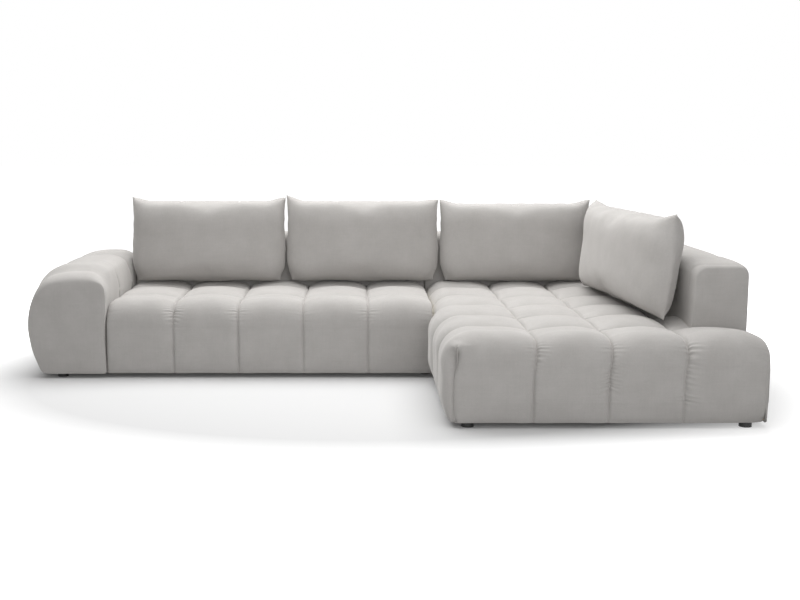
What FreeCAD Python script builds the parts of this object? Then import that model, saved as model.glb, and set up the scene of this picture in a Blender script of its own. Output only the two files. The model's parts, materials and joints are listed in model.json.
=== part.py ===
import FreeCAD, Part
import math
import os
import re
import Sketcher
from FreeCAD import Placement, Rotation, Vector

# Corner sofa: a sofa module with a round arm, a chaise module with a side back,
# and four loose back cushions. Millimetres. The front faces -Y, +Z is up, and the
# origin is on the floor under the middle of the whole sofa.

doc = FreeCAD.newDocument("CornerSofa")

SIZES = (
    ("arm_width", 403, "arm, from its outer bulge to its inner face"),
    ("seat_channels", 5, "channels across the sofa module"),
    ("seat_channel_pitch", 318, "width of one of them"),
    ("module_gap", 4, "gap where the two modules meet"),
    ("chaise_width", 1303, "chaise module"),
    ("chaise_first_channel", 348, "chaise left edge to its first seam"),
    ("chaise_channel_pitch", 306, "distance between the next seams"),
    ("chaise_depth", 2040, "chaise module, front to back"),
    ("sofa_depth", 1034, "sofa module, front to back"),
    ("first_row_depth", 316, "front edge to the first cross seam"),
    ("row_pitch", 321, "distance between cross seams"),
    ("foot_height", 30, "floor to the underside"),
    ("seam_height", 350, "floor to a seat seam"),
    ("crown_rise", 38, "seam to the top of a seat puff"),
    ("row_seam_rise", 7, "cross seams above the lengthwise ones"),
    ("row_swell", 44, "curve of a puff from cross seam to cross seam"),
    ("front_seam_inset", 26, "depth of a seam in the front face"),
    ("front_bulge", 4, "curve of the front face"),
    ("toe_inset", 14, "front face drawn in at the floor"),
    ("shoulder_depth", 80, "rounding of the front edge, front to back"),
    ("shoulder_height", 72, "rounding of the front edge, up and down"),
    ("front_padding", 40, "quilt over the front and side rails"),
    ("side_padding", 20, "flat padding on the chaise right side"),
    ("lining", 6, "plain cover where modules or arm meet"),
    ("side_bulge", 40, "bulge of the free left side of the chaise"),
    ("side_puff", 28, "puffs of that side between its cross seams"),
    ("nose_reach", 8, "front left corner of the chaise beyond its left edge"),
    ("nose_inset", 10, "front corners of the chaise drawn back"),
    ("corner_round", 28, "front right corner of the chaise"),
    ("edge_drop", 35, "left edge of the chaise below a seam"),
    ("right_edge_drop", 14, "right edge of the chaise below a seam"),
    ("right_toe_inset", 22, "right side of the chaise drawn in at the floor"),
    ("edge_width", 50, "rounding of the chaise's left edge"),
    ("edge_crown", 24, "curve of the outer puffs of the chaise"),
    ("back_height", 634, "floor to a seam on top of a back"),
    ("back_crown", 14, "curve between the seams of a back"),
    ("back_rise", 12, "top of a back above its seams"),
    ("back_thickness", 250, "back at the seat"),
    ("back_setback", 38, "lean of the front of a back"),
    ("back_shoulder", 46, "rounding of the top edges of a back"),
    ("back_swell", 5, "curve of the front face of a back"),
    ("back_front_round", 34, "rounding of the side back's front end"),
    ("back_padding", 16, "quilt over the back foam"),
    ("back_channels", 3, "channels on the sofa back"),
    ("corner_channels", 2, "channels on the chaise rear back"),
    ("rear_lining", 8, "plain cover on the rear"),
    ("arm_height", 528, "floor to a seam on top of the arm"),
    ("arm_crown", 14, "curve between the arm seams"),
    ("arm_rise", 13, "top of the arm above its seams"),
    ("arm_foot_inset", 84, "arm side drawn in at the floor"),
    ("arm_gap", 0.5, "between the arm and the seat"),
    ("arm_temple_inset", 60, "arm side to where its top rounding starts"),
    ("arm_temple_drop", 87, "top rounding of the arm, up and down"),
    ("arm_temple_round", 16, "curve of that rounding"),
    ("arm_crest_inset", 177, "arm side to the top of the rounding"),
    ("arm_brow_inset", 72, "rounding of the arm towards the seat"),
    ("arm_front_bulge", 8, "curve of the arm's front panel"),
    ("arm_front_drop", 44, "front edge of the arm below its crown"),
    ("arm_edge", 40, "rounding of the arm's ends"),
    ("arm_side_seam_inset", 12, "cross seams in the outer side of the arm"),
    ("arm_first_seam", 345, "arm front to its first cross seam"),
    ("arm_second_seam", 690, "arm front to its second cross seam"),
    ("arm_padding", 42, "quilt and crown over the arm foam"),
    ("arm_foam_thickness", 25, "foam wrapped round the arm frame"),
    ("arm_panel", 18, "plywood ends of the arm frame"),
    ("stretcher", 40, "square stretchers of the arm frame"),
    ("rail_height", 110, "base rails"),
    ("rail_thickness", 50, "base rails"),
    ("cross_rail_thickness", 30, "inner cross rails"),
    ("cross_rail_drop", 14, "cross rails below the straps"),
    ("block_size", 70, "corner blocks in plan"),
    ("block_height", 60, "corner blocks"),
    ("post_width", 60, "back posts"),
    ("post_depth", 25, "back posts"),
    ("top_rail_height", 60, "rail along the top of a back"),
    ("back_top_inset", 40, "top rail below the back's top seam"),
    ("board_thickness", 10, "plywood boards"),
    ("strap_width", 70, "elastic webbing"),
    ("strap_thickness", 2, "elastic webbing"),
    ("strap_lap", 15, "webbing lying on a rail"),
    ("felt_thickness", 6, "felt over the webbing"),
    ("foam_thickness", 178, "seat foam"),
    ("dust_cloth", 1.2, "cloth under the frame"),
    ("cloth_lap", 10, "that cloth on the rails"),
    ("foot_diameter", 52, "plastic foot"),
    ("stud_diameter", 8, "threaded stud moulded into the foot"),
    ("stud_length", 38, "stud above the foot"),
    ("screw_clearance", 0.3, "round a screw, on the radius"),
    ("arm_rail_inset", 140, "arm side to its outer base rail"),
    ("arm_rail_seat_side", 48, "arm inner face to its inner base rail"),
    ("arm_foot_front", 56, "arm front to the foot centre"),
    ("bolt_diameter", 8, "bolts that hold the arm"),
    ("bolt_head", 13, "bolt head, across its corners"),
    ("bolt_head_height", 5, "bolt head"),
    ("bolt_height", 64, "floor to the bolts"),
    ("bolt_reach", 25, "bolt in the arm rail"),
    ("bolt_inset", 190, "module front to the first bolt"),
    ("bolt_pitch", 400, "between the two bolts"),
    ("sofa_foot_front", 126, "sofa module front to the foot centre"),
    ("chaise_foot_side", 72, "chaise left edge to the foot centre"),
    ("chaise_foot_right", 93, "chaise right side to the foot centre"),
    ("chaise_foot_front", 54, "chaise front to the foot centre"),
    ("sofa_long_straps", 8, "webbing from front to rear in the sofa seat"),
    ("sofa_cross_straps", 4, "webbing from side to side in the sofa seat"),
    ("chaise_long_straps", 6, "webbing from front to rear in the chaise"),
    ("chaise_cross_straps", 9, "webbing from side to side in the chaise"),
    ("plate_length", 90, "connector plates along the joint"),
    ("plate_width", 38, "connector plates across the joint"),
    ("plate_thickness", 3, "connector plates"),
    ("tongue_width", 40, "hook tongue"),
    ("tongue_grip", 16, "hook tongue inside the socket"),
    ("connector_gap", 0.4, "round the tongue"),
    ("connector_inset", 230, "connector centre from the front or back"),
    ("plate_screw_diameter", 6, "connector screws"),
    ("plate_screw_head", 11, "connector screw heads, across their corners"),
    ("plate_screw_head_height", 4, "connector screw heads"),
    ("plate_screw_length", 34, "connector screws under their heads"),
    ("plate_screw_inset", 10, "connector screws from the plate's edge"),
    ("cushion_width", 815, "back cushions"),
    ("cushion_height", 458, "back cushions at their corners"),
    ("cushion_draw", 24, "edges drawn in between the corners"),
    ("cushion_base", 125, "depth of a back cushion at its base"),
    ("cushion_belly", 58, "swell of a cushion's front"),
    ("cushion_rear_belly", 16, "swell of a cushion's rear"),
    ("cushion_spacing", 23, "between back cushions"),
    ("cushion_wall", 8, "cover and lining over the filling"),
    ("edge_thickness", 12, "seam edge of a cushion"),
    ("edge_lean", 50, "seam edge from base to tip"),
    ("edge_offset", 58, "seam edge in front of the rear base line"),
    ("tip_drop", 46, "filling below the top seam"),
    ("filling_inset", 40, "filling inside the side seams"),
    ("waist_share", 0.42, "height of a cushion's fullest line, as a share"),
    ("side_cushion_width", 1196, "cushion of the side back"),
    ("side_cushion_base", 122, "its depth at its base"),
    ("side_cushion_belly", 54, "swell of its front"),
    ("side_cushion_rear_belly", 92, "swell of its rear"),
    ("side_cushion_turn", 5, "its turn out of the line of the side back, degrees"),
    ("side_cushion_back", 120, "its rear base line to the side back"),
    ("side_cushion_front", 996, "chaise front to its middle"),
    ("rest_gap", 0.4, "between a cushion and what carries it"),
)

sheet = doc.addObject("Spreadsheet::Sheet", "Sizes")
for row, (alias, value, note) in enumerate(SIZES, start=1):
    sheet.set("A%d" % row, alias)
    sheet.set("B%d" % row, str(value))
    sheet.set("C%d" % row, note)
    sheet.setAlias("B%d" % row, alias)
SIZE_NAMES = [entry[0] for entry in SIZES]

# Planes and levels that several pieces share, each worked out once from the sizes.
PLANES = (
    ("half_width", "(arm_width + seat_channels * seat_channel_pitch + module_gap + chaise_width) / 2"),
    ("arm_inner", "arm_width - half_width"),
    ("sofa_right", "arm_inner + seat_channels * seat_channel_pitch"),
    ("chaise_left", "sofa_right + module_gap"),
    ("chaise_front", "-chaise_depth / 2"),
    ("rear", "chaise_depth / 2"),
    ("sofa_front", "rear - sofa_depth"),
    ("seat_rear", "rear - back_thickness"),
    ("side_inner", "half_width - back_thickness"),
    ("side_front", "chaise_front + first_row_depth"),
    ("rail_top", "foot_height + rail_height"),
    ("felt_bottom", "rail_top + strap_thickness * 2"),
    ("foam_bottom", "felt_bottom + felt_thickness"),
    ("foam_top", "foam_bottom + foam_thickness"),
    ("frame_top", "back_height - back_top_inset"),
    ("sofa_frame_left", "arm_inner + lining"),
    ("sofa_frame_right", "sofa_right - lining"),
    ("sofa_frame_front", "sofa_front + front_padding"),
    ("chaise_frame_left", "chaise_left + front_padding"),
    ("chaise_frame_right", "half_width - side_padding"),
    ("chaise_frame_front", "chaise_front + front_padding"),
    ("frame_rear", "rear - rear_lining"),
    ("back_board_front", "frame_rear - post_depth - board_thickness"),
    ("side_board_inner", "chaise_frame_right - post_depth - board_thickness"),
    ("cushion_seat", "seam_height + crown_rise + rest_gap"),
    ("cushion_rear", "seat_rear - rest_gap"),
    ("arm_rail_left", "arm_rail_inset - half_width"),
    ("arm_rail_right", "arm_inner - arm_rail_seat_side"),
    ("arm_frame_front", "sofa_front + front_padding"),
    ("arm_frame_rear", "frame_rear - lining"),
    ("arm_rail_top", "foot_height + arm_padding + arm_foam_thickness"),
)

planes = doc.addObject("App::VarSet", "Planes")
PLANE_NAMES = [entry[0] for entry in PLANES]


def bind(formula):
    """Write each name in a formula with the object that holds it."""
    def owner(match):
        word = match.group(0)
        if word in SIZE_NAMES:
            return "Sizes." + word
        if word in PLANE_NAMES:
            return "Planes." + word
        raise ValueError("unknown size " + word)
    return re.sub(r"[a-z][a-z_]*[a-z]", owner, formula)


for name, formula in PLANES:
    planes.addProperty("App::PropertyFloat", name)
for name, formula in PLANES:
    planes.setExpression(name, bind(formula).replace("Planes.", ""))
doc.recompute()


def size(name):
    """A size from the sheet or a plane worked out from it."""
    if name in SIZE_NAMES:
        return float(sheet.get(name))
    return float(getattr(planes, name))


NODES = []


def keep(piece):
    """List a piece as one of the sofa's sub-parts."""
    NODES.append(piece)
    return piece


def block(label, x, y, z):
    """A box between two formulas on each axis."""
    piece = doc.addObject("Part::Box", label)
    for side, axis, (low, high) in zip(("Length", "Width", "Height"), "xyz", (x, y, z)):
        piece.setExpression(side, bind("(%s) - (%s)" % (high, low)))
        piece.setExpression("Placement.Base." + axis, bind(low))
    return piece


def peg(label, radius, x, y, low, high):
    """An upright cylinder, used as a drill."""
    piece = doc.addObject("Part::Cylinder", label)
    piece.setExpression("Radius", bind(radius))
    piece.setExpression("Height", bind("(%s) - (%s)" % (high, low)))
    for axis, formula in zip("xyz", (x, y, low)):
        piece.setExpression("Placement.Base." + axis, bind(formula))
    return piece


def group(label, pieces):
    """Several separate solids in one sub-part."""
    whole = doc.addObject("Part::Compound", label)
    whole.Links = pieces
    return whole


def cut(label, base, tools):
    """A piece with one or more others cut out of it."""
    piece = doc.addObject("Part::Cut", label)
    piece.Base = base
    piece.Tool = tools[0] if len(tools) == 1 else group(label + "_tools", tools)
    return piece


def feature(label, shape, placement=None):
    """A sub-part whose shape is built from curves."""
    piece = doc.addObject("Part::Feature", label)
    piece.Shape = shape
    if placement is not None:
        piece.Placement = placement
    return piece


def arc(start, middle, end):
    return Part.Arc(start, middle, end).toShape()


def line(start, end):
    return Part.makeLine(start, end)


def between(start, end, share):
    """The number or point that lies a share of the way from start to end."""
    return start + (end - start) * share


def slab(x, y, z):
    """A plain box shape between two numbers on each axis."""
    return Part.makeBox(x[1] - x[0], y[1] - y[0], z[1] - z[0], Vector(x[0], y[0], z[0]))


# The way each view's outline bows out when it starts at its lower left.
FROM_FRONT = Vector(0, -1, 0)
FROM_SIDE = Vector(1, 0, 0)
FROM_ABOVE = Vector(0, 0, 1)
FROM_BELOW = Vector(0, 0, -1)
PAST = 50   # how far a prism runs past what it shapes


def bowed(start, stop, rise, view):
    """Arc between two points of an outline, bowed out from its chord by a rise."""
    out = view.cross(stop - start)
    out.normalize()
    return arc(start, between(start, stop, 0.5) + out * rise, stop)


def rounded(start, corner, stop):
    """Arc between two points, bent towards their corner like a quarter circle."""
    middle = between(start, stop, 0.5)
    return arc(start, between(middle, corner, math.sqrt(2) - 1), stop)


def scallops(start, stops, rise, view):
    """One bowed arc per puff from start through the seam points."""
    edges = []
    for stop in stops:
        edges.append(bowed(start, stop, rise, view))
        start = stop
    return edges


def straight(points):
    """Lines through a row of points."""
    return [line(start, stop) for start, stop in zip(points, points[1:])]


def prism(edges, low, high):
    """A closed outline of lines and arcs, run straight from one plane to another."""
    face = Part.Face(Part.Wire(edges))
    face.translate(low)
    return face.extrude(high - low)


def shared(solids):
    """What several prisms have in common."""
    whole = solids[0]
    for solid in solids[1:]:
        whole = whole.common(solid)
    return whole.Solids[0]


# Seat covers. Each quilted seat is what three prisms share: its view from the front,
# from the side and from above, each with one arc per puff between the seams.

def seams_from(front, end):
    """Cross seams of a seat, as far as they fit before its end."""
    found = []
    seam = front + size("first_row_depth")
    while seam < end - size("row_pitch") / 4:
        found.append(seam)
        seam += size("row_pitch")
    return found


def seat_side_view(front, seams, end):
    """Side view of a seat: front face, rounded front edge and one arc per cross row."""
    crown = size("seam_height") + size("crown_rise")
    row_seam = size("seam_height") + size("row_seam_rise")
    toe = Vector(0, front + size("toe_inset"), size("foot_height"))
    chest = Vector(0, front, crown - size("shoulder_height"))
    brow = Vector(0, front + size("shoulder_depth"), crown)
    rows = [Vector(0, y, row_seam) for y in seams + [end]]
    edges = [bowed(toe, chest, size("front_bulge"), FROM_SIDE),
             rounded(chest, Vector(0, front, crown), brow),
             bowed(brow, rows[0], size("row_swell") / 2, FROM_SIDE)]
    edges += scallops(rows[0], rows[1:], size("row_swell"), FROM_SIDE)
    return edges + straight([rows[-1], Vector(0, end, size("foot_height")), toe])


def sofa_seat_shape():
    """Quilted cover of the sofa seat, open under the seat foam and frame."""
    left = size("arm_inner")
    right = size("sofa_right")
    front = size("sofa_front")
    end = size("seat_rear")
    floor = size("foot_height")
    level = size("seam_height")
    across = [left + index * size("seat_channel_pitch") for index in range(int(size("seat_channels")) + 1)]
    tops = [Vector(x, 0, level) for x in across]
    front_view = (scallops(tops[0], tops[1:], size("crown_rise"), FROM_FRONT)
                  + straight([tops[-1], Vector(right, 0, floor), Vector(left, 0, floor), tops[0]]))
    noses = [Vector(x, front + size("front_seam_inset"), 0) for x in across]
    top_view = (scallops(noses[0], noses[1:], size("front_seam_inset"), FROM_BELOW)
                + straight([noses[-1], Vector(right, end, 0), Vector(left, end, 0), noses[0]]))
    outer = shared([
        prism(front_view, Vector(0, front - PAST, 0), Vector(0, end, 0)),
        prism(seat_side_view(front, seams_from(front, end), end), Vector(left, 0, 0), Vector(right, 0, 0)),
        prism(top_view, Vector(0, 0, floor), Vector(0, 0, level + 2 * size("crown_rise")))])
    inside = slab((size("sofa_frame_left"), size("sofa_frame_right")),
                  (size("sofa_frame_front"), end + 1), (0, size("foam_top")))
    return outer.cut(inside)


def chaise_front_view(left, right, across):
    """The chaise seen from the front: bulging left side, channels, flat right side."""
    floor = size("foot_height")
    level = size("seam_height")
    edge_level = level + size("crown_rise") / 2
    toe = Vector(left, 0, floor)
    chest = Vector(left, 0, level - size("edge_drop"))
    brow = Vector(left + size("edge_width"), 0, edge_level)
    tops = [Vector(x, 0, level) for x in across]
    rim = Vector(right - size("edge_width") / 2, 0, edge_level)
    side = Vector(right, 0, level - size("right_edge_drop"))
    heel = Vector(right - size("right_toe_inset"), 0, floor)
    edges = [bowed(toe, chest, size("side_bulge"), FROM_FRONT),
             rounded(chest, Vector(left, 0, edge_level), brow),
             bowed(brow, tops[0], size("edge_crown"), FROM_FRONT)]
    edges += scallops(tops[0], tops[1:], size("crown_rise"), FROM_FRONT)
    edges += [bowed(tops[-1], rim, size("edge_crown"), FROM_FRONT),
              rounded(rim, Vector(right, 0, edge_level), side),
              bowed(side, heel, size("right_toe_inset") / 2, FROM_FRONT)]
    return edges + [line(heel, toe)]


def chaise_top_view(left, right, across, seams, end):
    """The chaise from above: front channels, and puffs along the free left side."""
    front = size("chaise_front")
    inset = size("front_seam_inset")
    meet = size("sofa_front") - size("module_gap")
    nose = Vector(left - size("nose_reach"), front + size("nose_inset"), 0)
    noses = [Vector(x, front + inset, 0) for x in across]
    corner = Vector(right - size("corner_round"), front + size("nose_inset"), 0)
    cheek = Vector(right, corner.y + size("corner_round"), 0)
    free = [seam for seam in seams if seam < meet]
    puffs = [Vector(left - size("side_bulge") + size("side_puff"), y, 0) for y in reversed(free)]
    edges = scallops(nose, noses, inset, FROM_BELOW)
    edges += [bowed(noses[-1], corner, inset / 2, FROM_BELOW),
              rounded(corner, Vector(right, corner.y, 0), cheek)]
    edges += straight([cheek, Vector(right, end, 0), Vector(left, end, 0), Vector(left, meet, 0), puffs[0]])
    return edges + scallops(puffs[0], puffs[1:] + [nose], size("side_puff"), FROM_BELOW)


def chaise_seat_shape():
    """Quilted cover of the chaise, cut away where the side back stands."""
    left = size("chaise_left")
    right = size("half_width")
    front = size("chaise_front")
    end = size("seat_rear")
    top = size("seam_height") + 2 * size("crown_rise")
    first = left + size("chaise_first_channel")
    across = [first + index * size("chaise_channel_pitch") for index in range(3)]
    seams = seams_from(front, end)
    outer = shared([
        prism(chaise_front_view(left, right, across), Vector(0, front - PAST, 0), Vector(0, end, 0)),
        prism(seat_side_view(front, seams, end), Vector(left - 2 * PAST, 0, 0), Vector(right + PAST, 0, 0)),
        prism(chaise_top_view(left, right, across, seams, end), Vector(0, 0, size("foot_height")),
              Vector(0, 0, top))])
    side_back = slab((size("side_inner"), right + PAST), (size("side_front"), end + 1), (0, top))
    base = slab((size("chaise_frame_left"), size("chaise_frame_right")),
                (size("chaise_frame_front"), end + 1), (0, size("foam_top")))
    return outer.cut(side_back).cut(base)


# Backs. The cross section is given as distances in from the outer face, so that it
# serves the rear backs and the side back alike.

def back_section(place, view):
    """Closed cross section of a back. place(inward, height) gives a point in space."""
    floor = size("foot_height")
    top = size("back_height") + size("back_rise")
    thick = size("back_thickness")
    shoulder = size("back_shoulder")
    lean = thick - size("back_setback")
    foot = place(0, floor)
    shoulder_out = place(0, top - shoulder)
    rim_out = place(shoulder, top)
    rim_in = place(lean - shoulder, top)
    shoulder_in = place(lean, top - shoulder)
    knee = place(thick, size("foam_top"))
    return [line(foot, shoulder_out), rounded(shoulder_out, place(0, top), rim_out),
            line(rim_out, rim_in), rounded(rim_in, place(lean, top), shoulder_in),
            bowed(shoulder_in, knee, size("back_swell"), view)] + straight([knee, place(thick, floor), foot])


def back_outline(point, stops, front_round, view):
    """A back seen square on to its length, its top in one arc per channel."""
    floor = size("foot_height")
    top = size("back_height")
    start = point(stops[0], floor)
    if front_round:
        side = point(stops[0], top - front_round)
        rim = point(stops[0] + front_round, top)
        edges = [line(start, side), rounded(side, point(stops[0], top), rim)]
    else:
        rim = point(stops[0], top)
        edges = [line(start, rim)]
    tops = [point(along, top) for along in stops[1:]]
    edges += scallops(rim, tops, size("back_crown"), view)
    return edges + straight([tops[-1], point(stops[-1], floor), start])


def rear_back_shape(left, right, count, frame_left, frame_right):
    """Cover of a rear back, hollow for its foam and frame."""
    rear = size("rear")
    seat_rear = size("seat_rear")
    step = (right - left) / count
    stops = [left + index * step for index in range(count + 1)]
    section = back_section(lambda inward, height: Vector(0, rear - inward, height), -FROM_SIDE)
    outline = back_outline(lambda along, height: Vector(along, 0, height), stops, 0, FROM_FRONT)
    outer = shared([prism(section, Vector(left - PAST, 0, 0), Vector(right + PAST, 0, 0)),
                    prism(outline, Vector(0, seat_rear - PAST, 0), Vector(0, rear + PAST, 0))])
    inner = size("frame_rear")
    face = seat_rear + size("back_padding") + size("back_setback")
    low = slab((frame_left, frame_right), (seat_rear - 1, inner), (0, size("foam_top")))
    high = slab((frame_left, frame_right), (face, inner), (0, size("frame_top")))
    return outer.cut(low).cut(high)


def side_back_shape():
    """Cover of the side back, hollow for its foam and frame."""
    front = size("side_front")
    end = size("seat_rear")
    right = size("half_width")
    inner = size("side_inner")
    pitch = 2 * size("row_pitch")
    stops = [front]
    while stops[-1] + pitch < end - pitch / 4:
        stops.append(stops[-1] + pitch)
    stops.append(end)
    section = back_section(lambda inward, height: Vector(right - inward, 0, height), FROM_FRONT * -1)
    outline = back_outline(lambda along, height: Vector(0, along, height), stops,
                           size("back_front_round"), FROM_SIDE)
    outer = shared([prism(section, Vector(0, front - PAST, 0), Vector(0, end + PAST, 0)),
                    prism(outline, Vector(inner - PAST, 0, 0), Vector(right + PAST, 0, 0))])
    frame_right = size("chaise_frame_right")
    side_face = inner + size("back_padding") + size("back_setback")
    low = slab((inner - 1, frame_right), (front - 1, end + 1), (0, size("foam_top")))
    high = slab((side_face, frame_right), (front + size("back_padding"), end + 1), (0, size("frame_top")))
    return outer.cut(low).cut(high)


# Arm. Its cross section swells out over the floor and rounds over to the seat.

def arm_section(y):
    """Closed cross section of the arm at y."""
    floor = size("foot_height")
    left = -size("half_width")
    inner = size("arm_inner") - size("arm_gap")
    top = size("arm_height") + size("arm_rise")
    toe = Vector(left + size("arm_foot_inset"), y, floor)
    belly = Vector(left, y, top / 2)
    temple = Vector(left + size("arm_temple_inset"), y, top - size("arm_temple_drop"))
    crest = Vector(left + size("arm_crest_inset"), y, top)
    brow = Vector(inner - size("arm_brow_inset"), y, top)
    shoulder = Vector(inner, y, top - size("arm_brow_inset"))
    edges = [arc(toe, belly, temple),
             bowed(temple, crest, size("arm_temple_round"), FROM_FRONT),
             line(crest, brow),
             rounded(brow, Vector(inner, y, top), shoulder)]
    return edges + straight([shoulder, Vector(inner, y, floor), toe])


def arm_stops():
    """Front, the two cross seams and rear of the arm."""
    front = size("sofa_front")
    return front, front + size("arm_first_seam"), front + size("arm_second_seam"), size("rear")


def arm_side_view():
    """The arm from the side: soft front edge and three arcs along the top."""
    front, first, second, rear = arm_stops()
    floor = size("foot_height")
    seam = size("arm_height")
    edge = size("arm_edge")
    toe = Vector(0, front + size("arm_front_bulge"), floor)
    chest = Vector(0, front, seam - size("arm_front_drop"))
    brow = Vector(0, front + 2 * edge, seam + size("arm_crown") / 2)
    seams = [Vector(0, y, seam) for y in (first, second)]
    rim = Vector(0, rear - edge, seam)
    back = Vector(0, rear, seam - edge)
    edges = [bowed(toe, chest, size("arm_front_bulge"), FROM_SIDE),
             rounded(chest, Vector(0, front, brow.z), brow)]
    edges += scallops(brow, seams + [rim], size("arm_crown"), FROM_SIDE)
    edges.append(rounded(rim, Vector(0, rear, seam), back))
    return edges + straight([back, Vector(0, rear, floor), toe])


def arm_top_view():
    """The arm from above: rounded outer corners and three arcs along the outer side."""
    front, first, second, rear = arm_stops()
    left = -size("half_width")
    right = size("arm_inner") - size("arm_gap")
    inset = size("arm_side_seam_inset")
    edge = size("arm_edge")
    nose = Vector(left + edge, front, 0)
    cheek = Vector(left + inset / 2, front + edge, 0)
    seams = [Vector(left + inset, y, 0) for y in (first, second)]
    tail = Vector(left + inset / 2, rear - edge, 0)
    heel = Vector(left + edge, rear, 0)
    inner = Vector(right, front + edge / 2, 0)
    corner = Vector(right - edge / 2, front, 0)
    edges = [rounded(nose, Vector(left + inset / 2, front, 0), cheek)]
    edges += scallops(cheek, seams + [tail], inset, FROM_ABOVE)
    edges.append(rounded(tail, Vector(left + inset / 2, rear, 0), heel))
    edges += straight([heel, Vector(right, rear, 0), inner])
    edges.append(rounded(inner, Vector(right, front, 0), corner))
    return edges + [line(corner, nose)]


def arm_core(inset, low, high):
    """Solid with the arm's own outline, inset all round, between two planes."""
    outline = Part.Face(Part.Wire(arm_section(low))).makeOffset2D(-inset)
    return outline.extrude(Vector(0, high - low, 0))


def arm_cover_shape():
    """Cover of the arm in three segments, hollow for its foam and frame."""
    left = -size("half_width")
    right = size("arm_inner")
    floor = size("foot_height")
    outer = shared([
        prism(arm_section(0), Vector(0, size("sofa_front") - PAST, 0), Vector(0, size("rear") + PAST, 0)),
        prism(arm_side_view(), Vector(left - PAST, 0, 0), Vector(right + PAST, 0, 0)),
        prism(arm_top_view(), Vector(0, 0, floor), Vector(0, 0, size("arm_height") + PAST))])
    inside = (size("arm_frame_front"), size("arm_frame_rear"))
    core = arm_core(size("arm_padding"), *inside)
    below = slab((size("arm_rail_left"), size("arm_rail_right")), inside,
                 (0, floor + size("arm_padding") + 1))
    return outer.cut(core).cut(below)


def arm_foam_shape():
    """Foam sleeve between the arm cover and the arm frame."""
    ends = (size("arm_frame_front"), size("arm_frame_rear"))
    outer = arm_core(size("arm_padding"), *ends)
    inner = arm_core(size("arm_padding") + size("arm_foam_thickness"), *ends)
    rails = slab((size("arm_rail_left"), size("arm_rail_right")), ends, (0, size("arm_rail_top")))
    return outer.cut(inner).cut(rails)


def arm_panel_shape(low):
    """Plywood end panel of the arm frame."""
    inset = size("arm_padding") + size("arm_foam_thickness")
    return arm_core(inset, low, low + size("arm_panel"))


# Cushions. A knife-edge cushion is what three prisms share: its side view with a full
# front and one top seam, its plan that closes to the side seams, and its front outline
# with edges drawn in between pointed corners. It stands with its rear base line at y 0.

def cushion_side_view(base, belly, rear_belly, wall, tip_drop):
    """Side view: flat base, full front, flatter rear, one seam along the top."""
    height = size("cushion_height")
    tip_plane = size("edge_lean") - size("edge_offset")
    waist = height * size("waist_share")
    front = Vector(0, wall - base, wall)
    rear = Vector(0, -wall, wall)
    tip = Vector(0, tip_plane, height - tip_drop)
    rear_waist = Vector(0, tip_plane / 2 + rear_belly - wall, waist)
    front_waist = Vector(0, (tip_plane - base) / 2 - belly + wall, waist)
    return [line(front, rear), arc(rear, rear_waist, tip), arc(tip, front_waist, front)]


def cushion_plan(width, base, belly, rear_belly, wall):
    """Plan: two arcs that close to the seam at each side."""
    half = width / 2
    seam = size("edge_lean") / 2 - size("edge_offset")
    edge = size("edge_thickness") / 2
    tip_plane = size("edge_lean") - size("edge_offset")
    deepest = (tip_plane - base) / 2 - belly - edge + wall
    rearmost = tip_plane / 2 + rear_belly + edge - wall
    return [arc(Vector(-half, seam - edge, 0), Vector(0, deepest, 0), Vector(half, seam - edge, 0)),
            line(Vector(half, seam - edge, 0), Vector(half, seam + edge, 0)),
            arc(Vector(half, seam + edge, 0), Vector(0, rearmost, 0), Vector(-half, seam + edge, 0)),
            line(Vector(-half, seam + edge, 0), Vector(-half, seam - edge, 0))]


def cushion_outline(width, height, draw):
    """Front view: sides and top drawn in between the corners."""
    half = width / 2
    corners = [Vector(half, 0, 0), Vector(half, 0, height), Vector(-half, 0, height), Vector(-half, 0, 0)]
    draws = (draw / 2, draw, draw / 2)
    edges = [bowed(start, stop, rise, FROM_FRONT) for start, stop, rise in zip(corners, corners[1:], draws)]
    return edges + [line(corners[-1], corners[0])]


def cushion_shapes(width, base, belly, rear_belly):
    """The cover and the filling of one cushion, standing on its base."""
    wall = size("cushion_wall")
    height = size("cushion_height")
    inner = width - size("filling_inset") * 2
    deep = Vector(0, 2 * (base + belly), 0)
    outer = shared([
        prism(cushion_side_view(base, belly, rear_belly, 0, 0), Vector(-width, 0, 0), Vector(width, 0, 0)),
        prism(cushion_plan(width, base, belly, rear_belly, 0), Vector(0, 0, -1), Vector(0, 0, height + 1)),
        prism(cushion_outline(width, height, size("cushion_draw")), -deep, deep)])
    filling = shared([
        prism(cushion_side_view(base, belly, rear_belly, wall, size("tip_drop")),
              Vector(-inner / 2, 0, 0), Vector(inner / 2, 0, 0)),
        prism(cushion_plan(inner, base, belly, rear_belly, 2 * wall), Vector(0, 0, 0), Vector(0, 0, height))])
    return outer.cut(filling), filling


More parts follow.
